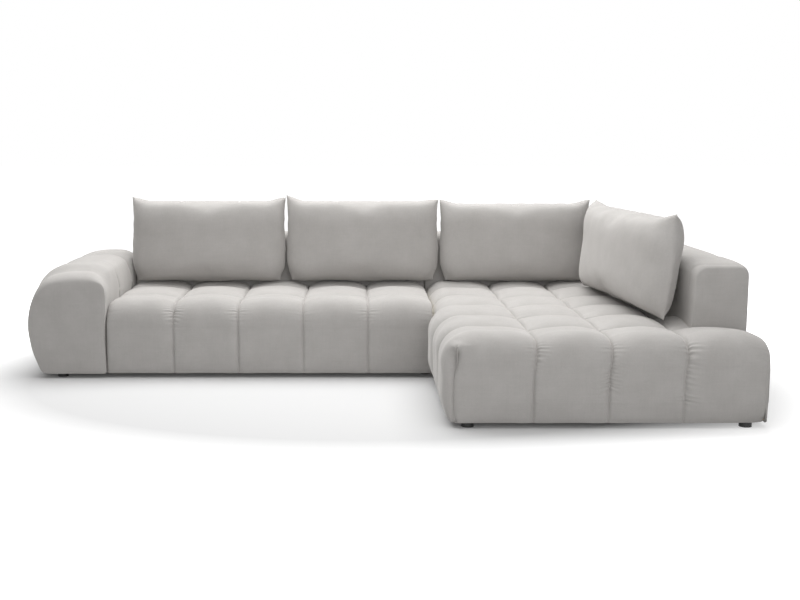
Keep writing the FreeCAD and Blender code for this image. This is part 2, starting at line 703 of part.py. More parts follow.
def revolved(label, points):
    """A body turned round its upright axis from (radius, height) formulas."""
    body = doc.addObject("PartDesign::Body", label)
    sketch = body.newObject("Sketcher::SketchObject", label + "_profile")
    upright = [item for item in body.Origin.OriginFeatures if item.Role == "XZ_Plane"][0]
    sketch.AttachmentSupport = [(upright, "")]
    sketch.MapMode = "FlatFace"
    count = len(points)
    for index in range(count):
        start = Vector(10 + index, index, 0)
        stop = Vector(10 + (index + 1) % count, (index + 1) % count, 0)
        sketch.addGeometry(Part.LineSegment(start, stop), False)
    for index in range(count):
        sketch.addConstraint(Sketcher.Constraint("Coincident", index, 2, (index + 1) % count, 1))
    for index, (radius, height) in enumerate(points):
        for kind, axis, formula in (("DistanceX", -2, radius), ("DistanceY", -1, height)):
            if formula == "0":
                sketch.addConstraint(Sketcher.Constraint("PointOnObject", index, 1, axis))
                continue
            number = sketch.addConstraint(Sketcher.Constraint(kind, -1, 1, index, 1, 1.0 + index))
            sketch.setExpression("Constraints[%d]" % number, bind(formula))
    turn = body.newObject("PartDesign::Revolution", label + "_turn")
    turn.Profile = sketch
    turn.ReferenceAxis = (sketch, ["V_Axis"])
    turn.Angle = 360
    doc.recompute()
    return body


def copies(label, body, places):
    """One sub-part made of copies of a body, set down at (x, y, z) places."""
    solids = []
    for x, y, z in places:
        solid = body.Shape.copy()
        solid.translate(Vector(x, y, z))
        solids.append(solid)
    return feature(label, Part.makeCompound(solids))


# Feet, screws and connector plates. Every foot and screw has its place here once.

FEET = (
    ("sofa_arm_rail", "arm_rail_left + rail_thickness / 2", "sofa_front + arm_foot_front"),
    ("sofa_arm_rail", "arm_rail_left + rail_thickness / 2", "rear - arm_foot_front"),
    ("sofa_right_rail", "sofa_frame_right - rail_thickness / 2", "sofa_front + sofa_foot_front"),
    ("sofa_right_rail", "sofa_frame_right - rail_thickness / 2", "rear - sofa_foot_front"),
    ("chaise_front_rail", "chaise_left + chaise_foot_side", "chaise_front + chaise_foot_front"),
    ("chaise_front_rail", "half_width - chaise_foot_right", "chaise_front + chaise_foot_front"),
    ("chaise_rear_rail", "chaise_left + chaise_foot_side", "frame_rear - rail_thickness / 2"),
    ("chaise_rear_rail", "half_width - chaise_foot_right", "frame_rear - rail_thickness / 2"),
)
CONNECTORS = ("sofa_front + connector_inset", "rear - connector_inset")
HOOK_X = "sofa_frame_right - plate_width + plate_screw_inset"
SOCKET_X = "chaise_frame_left + plate_width - plate_screw_inset"
PLATE_SCREWS = [(rail, x, y, drop)
                for rail, x, drop in (("sofa_right_rail", HOOK_X, 2), ("chaise_left_rail", SOCKET_X, 1))
                for y in CONNECTORS]

marks = doc.addObject("App::VarSet", "Marks")


def number(name, formula):
    """The value of a formula, kept as a property of the document."""
    marks.addProperty("App::PropertyFloat", name)
    marks.setExpression(name, bind(formula))
    marks.recompute()
    return float(getattr(marks, name))


def screw_holes(name, places, radius, low, high):
    """Drills for the screws that go into one rail or through one cloth."""
    return [peg("%s_hole_%d" % (name, index), radius, x, y, low, high)
            for index, (x, y) in enumerate(places)]


def holes_in(rail, name):
    """All screw holes in one rail."""
    feet = [(x, y) for owner, x, y in FEET if owner == rail]
    plates = [(x, y) for owner, x, y, drop in PLATE_SCREWS if owner == rail]
    return (screw_holes(name + "_foot", feet, "stud_diameter / 2 + screw_clearance",
                        "foot_height - 1", "foot_height + stud_length + 1")
            + screw_holes(name + "_plate", plates, "plate_screw_diameter / 2 + screw_clearance",
                          "0", "foot_height + plate_screw_length"))


def bolt_places():
    """Distances along the arm of the bolts that hold it to the seat frame."""
    return ["sofa_front + bolt_inset + %d * bolt_pitch" % index for index in range(2)]


def bolt_holes(name):
    """Level drills through the arm rail and the seat rail."""
    drills = []
    for index, y in enumerate(bolt_places()):
        drill = doc.addObject("Part::Cylinder", "%s_bolt_hole_%d" % (name, index))
        drill.setExpression("Radius", bind("bolt_diameter / 2 + screw_clearance"))
        drill.setExpression("Height", bind(BOLT_LENGTH + " + 2"))
        drill.Placement = Placement(Vector(), Rotation(Vector(0, 1, 0), 90))
        drill.setExpression("Placement.Base.x", bind("arm_rail_right - bolt_reach - 1"))
        drill.setExpression("Placement.Base.y", bind(y))
        drill.setExpression("Placement.Base.z", bind("bolt_height"))
        drills.append(drill)
    return drills


def bolt_slits(name):
    """Square openings in a cover, where the arm bolts pass."""
    reach = "bolt_diameter / 2 + screw_clearance"
    return [block("%s_bolt_slit_%d" % (name, index),
                  ("arm_rail_right - 1", "sofa_frame_left + 1"),
                  ("%s - (%s)" % (y, reach), "%s + %s" % (y, reach)),
                  ("bolt_height - (%s)" % reach, "bolt_height + %s" % reach))
            for index, y in enumerate(bolt_places())]


def hex_screw(label, diameter, length, head, head_height):
    """A screw that points up from a six-sided head under the origin plane."""
    shank = doc.addObject("Part::Cylinder", label + "_shank")
    shank.setExpression("Radius", bind(diameter + " / 2"))
    shank.setExpression("Height", bind(length))
    top = doc.addObject("Part::Prism", label + "_head")
    top.Polygon = 6
    top.setExpression("Circumradius", bind(head + " / 2"))
    top.setExpression("Height", bind(head_height))
    top.setExpression("Placement.Base.z", bind("-" + head_height))
    whole = doc.addObject("Part::MultiFuse", label)
    whole.Shapes = [shank, top]
    return whole


BOLT_LENGTH = "rail_thickness + arm_rail_seat_side + bolt_reach + lining"
foot = revolved("foot_blank", (
    ("0", "0"),
    ("foot_diameter / 2", "0"),
    ("foot_diameter / 2", "foot_height"),
    ("stud_diameter / 2", "foot_height"),
    ("stud_diameter / 2", "foot_height + stud_length"),
    ("0", "foot_height + stud_length")))
plate_screw = hex_screw("plate_screw_blank", "plate_screw_diameter", "plate_screw_length",
                        "plate_screw_head", "plate_screw_head_height")
arm_bolt = hex_screw("arm_bolt_blank", "bolt_diameter", BOLT_LENGTH, "bolt_head", "bolt_head_height")
doc.recompute()

foot_places = [(number("foot_x_%d" % i, x), number("foot_y_%d" % i, y), 0)
               for i, (rail, x, y) in enumerate(FEET)]
screw_places = [(number("plate_x_%d" % i, x), number("plate_y_%d" % i, y),
                 number("plate_z_%d" % i, "foot_height - plate_thickness * %d" % drop))
                for i, (rail, x, y, drop) in enumerate(PLATE_SCREWS)]
keep(copies("feet", foot, foot_places))
keep(copies("connector_screws", plate_screw, screw_places))
level_bolt = feature("level_bolt", arm_bolt.Shape, Placement(Vector(), Rotation(Vector(0, 1, 0), -90)))
keep(copies("arm_bolts", level_bolt, [
    (size("sofa_frame_left") + size("rail_thickness"), number("bolt_y_%d" % i, y), size("bolt_height"))
    for i, y in enumerate(bolt_places())]))


def plate(label, x, span, levels, y):
    """A flat piece of a connector, centred on y."""
    return block(label, x, ("%s - %s" % (y, span), "%s + %s" % (y, span)), levels)


def hook_plate(index, y):
    """Plate under the sofa's end rail, with a tongue that reaches the chaise."""
    base = plate("hook_base_%d" % index, ("sofa_frame_right - plate_width", "sofa_frame_right"),
                 "plate_length / 2", ("foot_height - plate_thickness", "foot_height"), y)
    tongue = plate("hook_tongue_%d" % index,
                   ("sofa_frame_right - plate_width", "chaise_frame_left + tongue_grip"),
                   "tongue_width / 2",
                   ("foot_height - plate_thickness * 2", "foot_height - plate_thickness"), y)
    whole = doc.addObject("Part::MultiFuse", "hook_%d" % index)
    whole.Shapes = [base, tongue]
    return whole


def socket_plate(index, y):
    """Plate under the chaise's end rail, with a loop round the tongue."""
    across = ("chaise_frame_left", "chaise_frame_left + tongue_grip")
    drop = "foot_height - plate_thickness * 3 - connector_gap"
    base = plate("socket_base_%d" % index,
                 ("chaise_frame_left", "chaise_frame_left + plate_width"), "plate_length / 2",
                 ("foot_height - plate_thickness", "foot_height"), y)
    reach = "tongue_width / 2 + connector_gap + plate_thickness"
    loop = plate("socket_loop_%d" % index, across, reach,
                 (drop, "foot_height - plate_thickness"), y)
    slot = plate("socket_slot_%d" % index,
                 ("chaise_frame_left - 1", "chaise_frame_left + tongue_grip + 1"),
                 "tongue_width / 2 + connector_gap",
                 (drop + " + plate_thickness", "foot_height - plate_thickness"), y)
    ring = cut("socket_ring_%d" % index, loop, [slot])
    whole = doc.addObject("Part::MultiFuse", "socket_%d" % index)
    whole.Shapes = [base, ring]
    return whole


def drilled_plates(label, make, rail):
    """The front and rear connector plates of one rail, with a square hole in each."""
    pieces = [make(index, y) for index, y in enumerate(CONNECTORS)]
    reach = "plate_screw_diameter / 2 + screw_clearance"
    holes = [block("%s_slot_%d" % (label, index), ("%s - (%s)" % (x, reach), "%s + %s" % (x, reach)),
                   ("%s - (%s)" % (y, reach), "%s + %s" % (y, reach)), ("0", "foot_height + 1"))
             for index, (owner, x, y, drop) in enumerate(PLATE_SCREWS) if owner == rail]
    keep(cut(label, group(label + "_blanks", pieces), holes))


drilled_plates("joint_hooks", hook_plate, "sofa_right_rail")
drilled_plates("joint_sockets", socket_plate, "chaise_left_rail")


# Base frames: rails round the edge, cross rails, corner blocks, webbing and felt.

def base_frame(name, left, right, front, long_straps, cross_straps, strap_right):
    """The base of one module between four planes, with everything that spans it."""
    rear = "frame_rear"
    inner_left = left + " + rail_thickness"
    inner_right = right + " - rail_thickness"
    inner_front = front + " + rail_thickness"
    inner_rear = rear + " - rail_thickness"
    levels = ("foot_height", "rail_top")
    rails = {
        "front": ((left, right), (front, inner_front)),
        "rear": ((left, right), (inner_rear, rear)),
        "left": ((left, inner_left), (inner_front, inner_rear)),
        "right": ((inner_right, right), (inner_front, inner_rear)),
    }
    for side, (x, y) in rails.items():
        label = "%s_%s_rail" % (name, side)
        holes = holes_in(label, label)
        if label == "sofa_left_rail":
            holes = bolt_holes(label)
        if holes:
            keep(cut(label, block(label + "_blank", x, y, levels), holes))
        else:
            keep(block(label, x, y, levels))
    low = ("foot_height", "rail_top - cross_rail_drop")
    bars = []
    for index in (1, 2):
        if name == "sofa":
            middle = "%s + (%s - (%s)) * %d / 3" % (left, right, left, index)
            bars.append(block("sofa_bar_%d" % index,
                              ("%s - cross_rail_thickness / 2" % middle, "%s + cross_rail_thickness / 2" % middle),
                              (inner_front, inner_rear), low))
        else:
            middle = "%s + (%s - (%s)) * %d / 3" % (front, rear, front, index)
            bars.append(block("chaise_bar_%d" % index, (inner_left, inner_right),
                              ("%s - cross_rail_thickness / 2" % middle, "%s + cross_rail_thickness / 2" % middle),
                              low))
    keep(group(name + "_cross_rails", bars))
    corners = []
    for x in ((inner_left, inner_left + " + block_size"), (inner_right + " - block_size", inner_right)):
        for y in ((inner_front, inner_front + " + block_size"), (inner_rear + " - block_size", inner_rear)):
            corners.append(block("%s_corner_%d" % (name, len(corners)), x, y,
                                 ("foot_height", "foot_height + block_height")))
    keep(group(name + "_corner_blocks", corners))
    lap_left = inner_left + " - strap_lap"
    lap_front = inner_front + " - strap_lap"
    lap_rear = inner_rear + " + strap_lap"
    straps = []
    for index in range(int(size(long_straps))):
        middle = "%s + (%s - (%s)) * %d / (2 * %s)" % (
            inner_left, inner_right, inner_left, 2 * index + 1, long_straps)
        straps.append(block("%s_long_strap_%d" % (name, index),
                            ("%s - strap_width / 2" % middle, "%s + strap_width / 2" % middle),
                            (lap_front, lap_rear), ("rail_top", "rail_top + strap_thickness")))
    keep(group(name + "_long_webbing", straps))
    straps = []
    for index in range(int(size(cross_straps))):
        middle = "%s + (%s - (%s)) * %d / (2 * %s)" % (
            inner_front, inner_rear, inner_front, 2 * index + 1, cross_straps)
        straps.append(block("%s_cross_strap_%d" % (name, index), (lap_left, strap_right),
                            ("%s - strap_width / 2" % middle, "%s + strap_width / 2" % middle),
                            ("rail_top + strap_thickness", "felt_bottom")))
    keep(group(name + "_cross_webbing", straps))
    keep(block(name + "_felt", (left, strap_right), (front, "back_board_front"),
               ("felt_bottom", "foam_bottom")))


def back_frame(name, run, inward, posts):
    """Posts, top rail and board of one back. run is along it, inward is its depth."""
    start, stop = run
    outer, mid, inner = inward

    def lay(label, along, depth, levels):
        if name == "side":
            return block(label, (depth[1], depth[0]), along, levels)
        return block(label, along, (depth[1], depth[0]), levels)

    uprights = []
    for index in range(posts):
        low = "%s + (%s - post_width - (%s)) * %d / %d" % (start, stop, start, index, posts - 1)
        uprights.append(lay("%s_post_%d" % (name, index), (low, low + " + post_width"), (outer, mid),
                            ("rail_top", "frame_top - top_rail_height")))
    keep(group(name + "_back_posts", uprights))
    keep(lay(name + "_back_top_rail", run, (outer, mid), ("frame_top - top_rail_height", "frame_top")))
    keep(lay(name + "_back_board", run, (mid, inner), ("rail_top + strap_thickness * 2", "frame_top")))


base_frame("sofa", "sofa_frame_left", "sofa_frame_right", "sofa_frame_front",
           "sofa_long_straps", "sofa_cross_straps", "sofa_frame_right - rail_thickness + strap_lap")
base_frame("chaise", "chaise_frame_left", "chaise_frame_right", "chaise_frame_front",
           "chaise_long_straps", "chaise_cross_straps", "side_board_inner")

SIDE_FACE = "side_front + back_padding"
back_frame("sofa", ("sofa_frame_left", "sofa_frame_right"),
           ("frame_rear", "frame_rear - post_depth", "back_board_front"), 4)
back_frame("corner", ("chaise_frame_left", "chaise_frame_right"),
           ("frame_rear", "frame_rear - post_depth", "back_board_front"), 4)
back_frame("side", (SIDE_FACE, "seat_rear"),
           ("chaise_frame_right", "chaise_frame_right - post_depth", "side_board_inner"), 4)


# Foams.

LEAN = "back_padding + back_setback"
keep(block("sofa_seat_foam", ("sofa_frame_left", "sofa_frame_right"),
           ("sofa_frame_front", "back_board_front"), ("foam_bottom", "foam_top")))
chaise_foam = doc.addObject("Part::MultiFuse", "chaise_seat_foam")
chaise_foam.Shapes = [
    block("chaise_foam_main", ("chaise_frame_left", "side_board_inner"),
          ("chaise_frame_front", "back_board_front"), ("foam_bottom", "foam_top")),
    block("chaise_foam_edge", ("side_board_inner", "chaise_frame_right"),
          ("chaise_frame_front", SIDE_FACE), ("rail_top", "foam_top"))]
chaise_foam.Refine = True
keep(chaise_foam)
keep(block("sofa_back_foam", ("sofa_frame_left", "sofa_frame_right"),
           ("seat_rear + " + LEAN, "back_board_front"), ("foam_top", "frame_top")))
keep(block("side_back_foam", ("side_inner + " + LEAN, "side_board_inner"),
           (SIDE_FACE, "seat_rear"), ("foam_top", "frame_top")))
keep(block("corner_back_foam", ("chaise_frame_left", "side_board_inner"),
           ("seat_rear + " + LEAN, "back_board_front"), ("foam_top", "frame_top")))


# Cloth under each frame, lapped over the inner edge of the rails.

def dust_cloth(name, x, y, owner):
    """Thin cloth under a frame between these planes, notched round the feet."""
    reach = "foot_diameter / 2 + 1"
    notches = [block("%s_notch_%d" % (name, index),
                     ("%s - (%s)" % (fx, reach), "%s + %s" % (fx, reach)),
                     ("%s - (%s)" % (fy, reach), "%s + %s" % (fy, reach)), ("0", "foot_height + 1"))
               for index, (rail, fx, fy) in enumerate(FEET) if rail.startswith(owner)]
    blank = block(name + "_cloth_blank", x, y, ("foot_height - dust_cloth", "foot_height"))
    keep(cut(name + "_dust_cloth", blank, notches))


INSET = "rail_thickness - cloth_lap"
SPANS = {name: ("%s + %s" % (low, INSET), "%s - (%s)" % (high, INSET))
         for name, low, high in (("sofa", "sofa_frame_left", "sofa_frame_right"),
                                 ("chaise", "chaise_frame_left", "chaise_frame_right"),
                                 ("arm", "arm_rail_left", "arm_rail_right"),
                                 ("sofa_depth", "sofa_frame_front", "frame_rear"),
                                 ("chaise_depth", "chaise_frame_front", "frame_rear"))}
dust_cloth("sofa", SPANS["sofa"], SPANS["sofa_depth"], "sofa_right")
dust_cloth("chaise", SPANS["chaise"], SPANS["chaise_depth"], "chaise")
dust_cloth("arm", SPANS["arm"], ("arm_frame_front", "arm_frame_rear"), "sofa_arm")


# Arm frame.

ARM_RUN = ("arm_frame_front", "arm_frame_rear")
outer_rail = block("arm_outer_rail_blank", ("arm_rail_left", "arm_rail_left + rail_thickness"), ARM_RUN,
                   ("foot_height", "arm_rail_top"))
keep(cut("arm_outer_rail", outer_rail, holes_in("sofa_arm_rail", "arm_outer_rail")))
inner_rail = block("arm_inner_rail_blank", ("arm_rail_right - rail_thickness", "arm_rail_right"), ARM_RUN,
                   ("foot_height", "arm_rail_top"))
keep(cut("arm_inner_rail", inner_rail, bolt_holes("arm_inner_rail")))
keep(feature("arm_end_panels", Part.makeCompound([
    arm_panel_shape(size("arm_frame_front")),
    arm_panel_shape(size("arm_frame_rear") - size("arm_panel"))])))
STRETCH = ("arm_frame_front + arm_panel", "arm_frame_rear - arm_panel")
keep(group("arm_stretchers", [
    block("arm_stretcher_%d" % index, (x, x + " + stretcher"), STRETCH, (z, z + " + stretcher"))
    for index, (x, z) in enumerate((
        ("stretcher * 2 - half_width", "arm_height / 2 - stretcher"),
        ("arm_rail_left + stretcher / 2", "arm_height * 0.73"),
        ("arm_rail_right - stretcher * 2", "arm_height * 0.68")))]))
keep(feature("arm_foam", arm_foam_shape()))


# Quilted covers of the seats, backs and arm.

doc.recompute()


def covered(label, shape, drills=()):
    """A cover, with any openings cut through it."""
    if not drills:
        return keep(feature(label, shape))
    return keep(cut(label, feature(label + "_blank", shape), list(drills)))


covered("sofa_seat_cover", sofa_seat_shape(), bolt_slits("sofa_seat_cover"))
covered("chaise_seat_cover", chaise_seat_shape())
covered("sofa_back_cover", rear_back_shape(
    size("arm_inner"), size("sofa_right"), int(size("back_channels")),
    size("sofa_frame_left"), size("sofa_frame_right")))
covered("corner_back_cover", rear_back_shape(
    size("chaise_left"), size("half_width"), int(size("corner_channels")),
    size("chaise_frame_left"), size("chaise_frame_right")))
covered("side_back_cover", side_back_shape())
covered("arm_cover", arm_cover_shape(), bolt_slits("arm_cover"))


# Cushions, each resting on the seat and free to lift off.

def lay_cushion(name, width, base, belly, rear_belly, placement):
    """Cover and filling of one cushion in its place on the seat."""
    cover, filling = cushion_shapes(width, base, belly, rear_belly)
    keep(feature(name + "_cushion_cover", cover, placement))
    keep(feature(name + "_cushion_filling", filling, placement))


def lay_back_cushions():
    """The three cushions along the rear back, from the arm to the corner."""
    width = size("cushion_width")
    step = width + size("cushion_spacing")
    first = size("arm_inner") + size("lining") + width / 2
    for index, name in enumerate(("left", "middle", "right")):
        place = Vector(first + index * step, size("cushion_rear"), size("cushion_seat"))
        lay_cushion(name, width, size("cushion_base"), size("cushion_belly"),
                    size("cushion_rear_belly"), Placement(place, Rotation()))


def lay_side_cushion():
    """The long cushion of the side back, turned a little out of its line."""
    place = Vector(size("side_inner") - size("side_cushion_back"),
                   size("chaise_front") + size("side_cushion_front"), size("cushion_seat"))
    turn = Rotation(Vector(0, 0, 1), size("side_cushion_turn") - 90)
    lay_cushion("side", size("side_cushion_width"), size("side_cushion_base"),
                size("side_cushion_belly"), size("side_cushion_rear_belly"), Placement(place, turn))


lay_back_cushions()
lay_side_cushion()

doc.recompute()
faulty = [item.Label for item in doc.Objects if "Invalid" in item.State or "Error" in item.State]
if faulty:
    raise RuntimeError("objects failed: " + ", ".join(faulty))
for piece in NODES:
    if piece.Shape.isNull() or not piece.Shape.isValid():
        raise RuntimeError("bad shape in " + piece.Label)
os.makedirs("parts", exist_ok=True)
for piece in NODES:
    piece.Shape.exportStep("parts/%s.step" % piece.Label)
    print(piece.Label, len(piece.Shape.Solids), round(piece.Shape.Volume / 1e6, 3))
print(len(NODES), "sub-parts")
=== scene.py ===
import json
import math

import bmesh
import bpy
import numpy as np
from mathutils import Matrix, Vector
from mathutils.geometry import delaunay_2d_cdt


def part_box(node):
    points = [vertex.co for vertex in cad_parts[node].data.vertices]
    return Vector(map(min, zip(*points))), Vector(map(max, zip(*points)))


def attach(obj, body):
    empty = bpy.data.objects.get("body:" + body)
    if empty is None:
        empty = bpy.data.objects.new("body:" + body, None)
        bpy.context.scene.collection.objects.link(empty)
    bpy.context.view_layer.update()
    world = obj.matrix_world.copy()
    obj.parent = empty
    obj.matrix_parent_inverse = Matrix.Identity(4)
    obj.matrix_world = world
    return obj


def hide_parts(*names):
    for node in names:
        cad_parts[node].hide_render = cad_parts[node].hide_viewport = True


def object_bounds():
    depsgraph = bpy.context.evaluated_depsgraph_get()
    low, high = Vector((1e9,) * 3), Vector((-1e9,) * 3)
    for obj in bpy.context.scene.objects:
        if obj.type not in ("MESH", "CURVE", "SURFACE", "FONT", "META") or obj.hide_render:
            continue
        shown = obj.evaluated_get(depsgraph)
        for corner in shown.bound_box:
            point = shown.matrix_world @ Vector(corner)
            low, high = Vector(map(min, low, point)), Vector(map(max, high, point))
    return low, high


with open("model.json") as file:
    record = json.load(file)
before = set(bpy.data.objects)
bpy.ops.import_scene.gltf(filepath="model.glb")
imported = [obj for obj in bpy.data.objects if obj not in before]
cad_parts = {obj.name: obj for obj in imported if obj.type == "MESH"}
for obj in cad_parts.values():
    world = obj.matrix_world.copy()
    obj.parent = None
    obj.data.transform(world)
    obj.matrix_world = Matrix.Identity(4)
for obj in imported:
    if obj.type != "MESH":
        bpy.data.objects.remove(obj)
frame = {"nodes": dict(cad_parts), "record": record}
cad_low, cad_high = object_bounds()

# Planes of the sofa, read from the frame. Metres; the front faces -Y.
SEAT_LOW, SEAT_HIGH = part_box("sofa_seat_cover")
ARM_LOW, ARM_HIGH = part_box("arm_cover")
REAR_LOW, REAR_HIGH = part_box("sofa_back_cover")
CORNER_LOW, CORNER_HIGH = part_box("corner_back_cover")
SIDE_LOW, SIDE_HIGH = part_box("side_back_cover")
FOAM_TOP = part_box("sofa_seat_foam")[1].z
FLOOR = SEAT_LOW.z  # underside of the covers
SEAM = 0.350  # height of a seat seam
CROWN = SEAT_HIGH.z - SEAM  # rise of a seat puff
CHANNEL = 0.318  # width of a sofa channel
ROW = 0.321  # distance between cross seams
FIRST_ROW = 0.316  # front edge to the first cross seam
FRONT_INSET = 0.012  # depth of a seam in the front face
SEAT_ROLL = 0.105  # radius of a seat seam over the front edge
CORNER_ROLL = 0.040  # radius at the corner seam
CHAISE_WALL = 0.350  # plane of the chaise's free left wall at seam depth
FRONT_SWELL = 0.012  # puff of the front face
LEFT_SWELL = 0.037  # puff of the free left wall
SHOULDER = 0.008  # extra fullness over a rolled edge
FOAM_INSET = 0.018  # foam surface under the cover
STEP = 0.0095  # grid of the modelled covers
FINE = 0.0040  # grid where the fabric is gathered
TURNED_FRONT = -0.984  # the hem at the chaise's outer front corner
HEM_DROP = 0.008  # the hem hangs this far below the base
TOP_DIP = 0.018  # a cushion's top edge lies this far below its tips
FLOOR_GLOW = 0.03  # camera-only glow of the floor near the sofa, far below the full white farther out: painted shade on the floor round the sofa
WORLD_LIGHT = 0.24  # light from the white surroundings
CUT_LEVEL = FLOOR - HEM_DROP - 0.0005  # where the covers are closed underneath
HEM_EDGE = 0.004  # this strip along the chaise's outer hem is turned in
HEM_TUCK = 0.006  # and moved this far in from the edge
FOLD_DEPTH = 0.0019  # fine folds along the seat seams
UNEVENNESS = 0.0020  # slow unevenness of a seat puff
STITCH_DEPTH = 0.0060  # groove of a seat seam
STITCH_WIDTH = 0.0042
FOAM_SHARE = 0.85  # a puff's foam rises this share of its cover
NOSE_ROUND = np.array([-0.016, -0.026, -0.012])  # shift at the chaise's free corner
NOSE_TIP = np.array([-0.010, -0.022, 0.004])  # further shift of its very tip
ROUND_STEPS = 10  # points on a rounded corner of an outline
BOLSTER_REACH = 0.12  # from a bolster's seam to the full height of its puff
SEAM_PULL = 0.06  # how far along a bolster a seam stays in its plane
PRESSURE = 0.9  # blows up the cushions
CLOTH_FRAMES = 20
CLOTH_REACH = 0.030  # furthest that the cloth moves a point
EASE_PASSES = 8


# Small tools for grids of points.

def edge_path(t, radius):
    """Run round a square edge: t is the length along it, below 0 on the wall and
    above 0 on the top. Gives the distance in from the wall, the distance down from
    the top and the angle turned, 0 on the wall and a quarter turn on the top."""
    half = math.pi * radius / 4
    turn = np.clip((t + half) / radius, 0, math.pi / 2)
    inward = radius * (1 - np.cos(turn)) + np.clip(t - half, 0, None)
    down = radius * (1 - np.sin(turn)) + np.clip(-t - half, 0, None)
    return inward, down, turn


def spaced(stops, steps):
    """Values through all stops, about a step apart and closer near each stop."""
    values = [stops[0]]
    for low, high, step in zip(stops, stops[1:], steps):
        count = max(2, int(round((high - low) / step)))
        share = np.arange(1, count + 1) / count
        eased = 0.3 * share + 0.7 * (1 - np.cos(math.pi * share)) / 2
        values.extend(low + (high - low) * eased)
    return np.array(values)


def smooth(values, low, high):
    """0 below low, 1 above high and an S between them."""
    share = np.clip((np.asarray(values, float) - low) / (high - low), 0, 1)
    return share * share * (3 - 2 * share)


def nearest(values, stops):
    """Distance from each value to the nearest stop."""
    return np.min(np.abs(np.asarray(values)[..., None] - np.array(stops)), axis=-1)


def dome(distance, reach):
    """Height of a puff, 0 on its seam and 1 from a reach away: steep, then flat."""
    share = np.clip(distance / reach, 0, 1)
    return (1 - (1 - share) ** 2.2) ** 0.57


def ripple(values, seed, wave):
    """Smooth, repeatable unevenness along a line, about -1 to 1."""
    rng = np.random.default_rng(seed)
    total = np.zeros_like(values)
    for octave in (1.0, 0.61, 0.37):
        shift = rng.uniform(0, 2 * math.pi)
        total += math.sqrt(octave) * np.sin(2 * math.pi * values / (wave * octave) + shift)
    return total / 2


def gathers(along, distance, seed, wave=0.021, reach=0.045):
    """Fine folds that start at a seam and fade away from it."""
    patch = np.clip(0.5 + ripple(along, seed + 7, 0.23), 0, 1) ** 2
    return ripple(along, seed, wave) * patch * np.exp(-distance / reach) * np.clip(distance / 0.004, 0, 1)


def add_object(name, data):
    item = bpy.data.objects.new(name, data)
    bpy.context.scene.collection.objects.link(item)
    return item


def mesh_object(name, points, faces):
    mesh = bpy.data.meshes.new(name)
    mesh.from_pydata([tuple(p) for p in points], [], faces)
    mesh.update()
    return add_object(name, mesh)


def finish_mesh(piece, material, joined=True):
    """Outward normals, smooth shading and a material."""
    work = bmesh.new()
    work.from_mesh(piece.data)
    if joined:
        bmesh.ops.remove_doubles(work, verts=work.verts, dist=1e-6)
        bmesh.ops.recalc_face_normals(work, faces=work.faces)
    if work.calc_volume(signed=True) < 0:
        bmesh.ops.reverse_faces(work, faces=work.faces)
    work.to_mesh(piece.data)
    work.free()
    for face in piece.data.polygons:
        face.use_smooth = True
    piece.data.materials.clear()
    piece.data.materials.append(material)


def close_down(piece, level, outer=None):
    """Close an open shell: its rim runs straight down to a level and is filled. outer
    is the plane of a free right edge, whose hem is turned in."""
    work = bmesh.new()
    work.from_mesh(piece.data)
    rim = [e for e in work.edges if e.is_boundary]
    made = bmesh.ops.extrude_edge_only(work, edges=rim)["geom"]
    low = [v for v in made if isinstance(v, bmesh.types.BMVert)]
    for vert in low:
        if outer is not None and vert.co.x > outer - HEM_EDGE:
            vert.co.x = outer - HEM_TUCK
            vert.co.y = max(vert.co.y, TURNED_FRONT)
        vert.co.z = level
    rim = [e for e in made if isinstance(e, bmesh.types.BMEdge) and e.is_boundary]
    filled = bmesh.ops.contextual_create(work, geom=rim)["faces"]
    bmesh.ops.triangulate(work, faces=filled)
    work.to_mesh(piece.data)
    work.free()


def vertex_normals(piece):
    piece.data.update()
    normals = np.empty(len(piece.data.vertices) * 3, np.float32)
    piece.data.vertices.foreach_get("normal", normals)
    return normals.reshape(-1, 3).astype(float)


def get_points(mesh):
    points = np.empty(len(mesh.vertices) * 3, np.float32)
    mesh.vertices.foreach_get("co", points)
    return points.reshape(-1, 3).astype(float)


def set_points(piece, points):
    piece.data.vertices.foreach_set("co", np.asarray(points, np.float32).ravel())
    piece.data.update()


# Materials. Each is a short function of its own.

def new_node(tree, kind):
    return tree.nodes.new("ShaderNode" + kind)


def new_material(name):
    material = bpy.data.materials.new(name)
    material.use_nodes = True
    tree = material.node_tree
    tree.nodes.clear()
    out = new_node(tree, "OutputMaterial")
    shader = new_node(tree, "BsdfPrincipled")
    link(tree, shader, "BSDF", out, "Surface")
    return material, tree, shader


def link(tree, source, socket, target, into):
    tree.links.new(source.outputs[socket], target.inputs[into])


def put(node, socket, value):
    node.inputs[socket].default_value = value


def coordinates(tree, scale):
    place = new_node(tree, "TexCoord")
    mapping = new_node(tree, "Mapping")
    put(mapping, "Scale", scale)
    link(tree, place, "Object", mapping, "Vector")
    return mapping


def noise(tree, mapping, scale, detail=4.0, roughness=0.55):
    node = new_node(tree, "TexNoise")
    put(node, "Scale", scale)
    put(node, "Detail", detail)
    put(node, "Roughness", roughness)
    link(tree, mapping, "Vector", node, "Vector")
    return node


def ramp(tree, source, socket, stops):
    node = new_node(tree, "ValToRGB")
    while len(node.color_ramp.elements) < len(stops):
        node.color_ramp.elements.new(0.5)
    for element, (position, colour) in zip(node.color_ramp.elements, stops):
        element.position = position
        element.color = (*colour, 1)
    link(tree, source, socket, node, "Fac")
    return node


def mix(tree, kind, factor, first, second):
    node = new_node(tree, "Mix")
    node.data_type = "RGBA"
    node.blend_type = kind
    put(node, "Factor", factor)
    tree.links.new(first, node.inputs["A"])
    tree.links.new(second, node.inputs["B"])
    return node


def bump(tree, height, socket, strength, distance, before=None):
    node = new_node(tree, "Bump")
    put(node, "Strength", strength)
    put(node, "Distance", distance)
    tree.links.new(height.outputs[socket], node.inputs["Height"])
    if before is not None:
        link(tree, before, "Normal", node, "Normal")
    return node


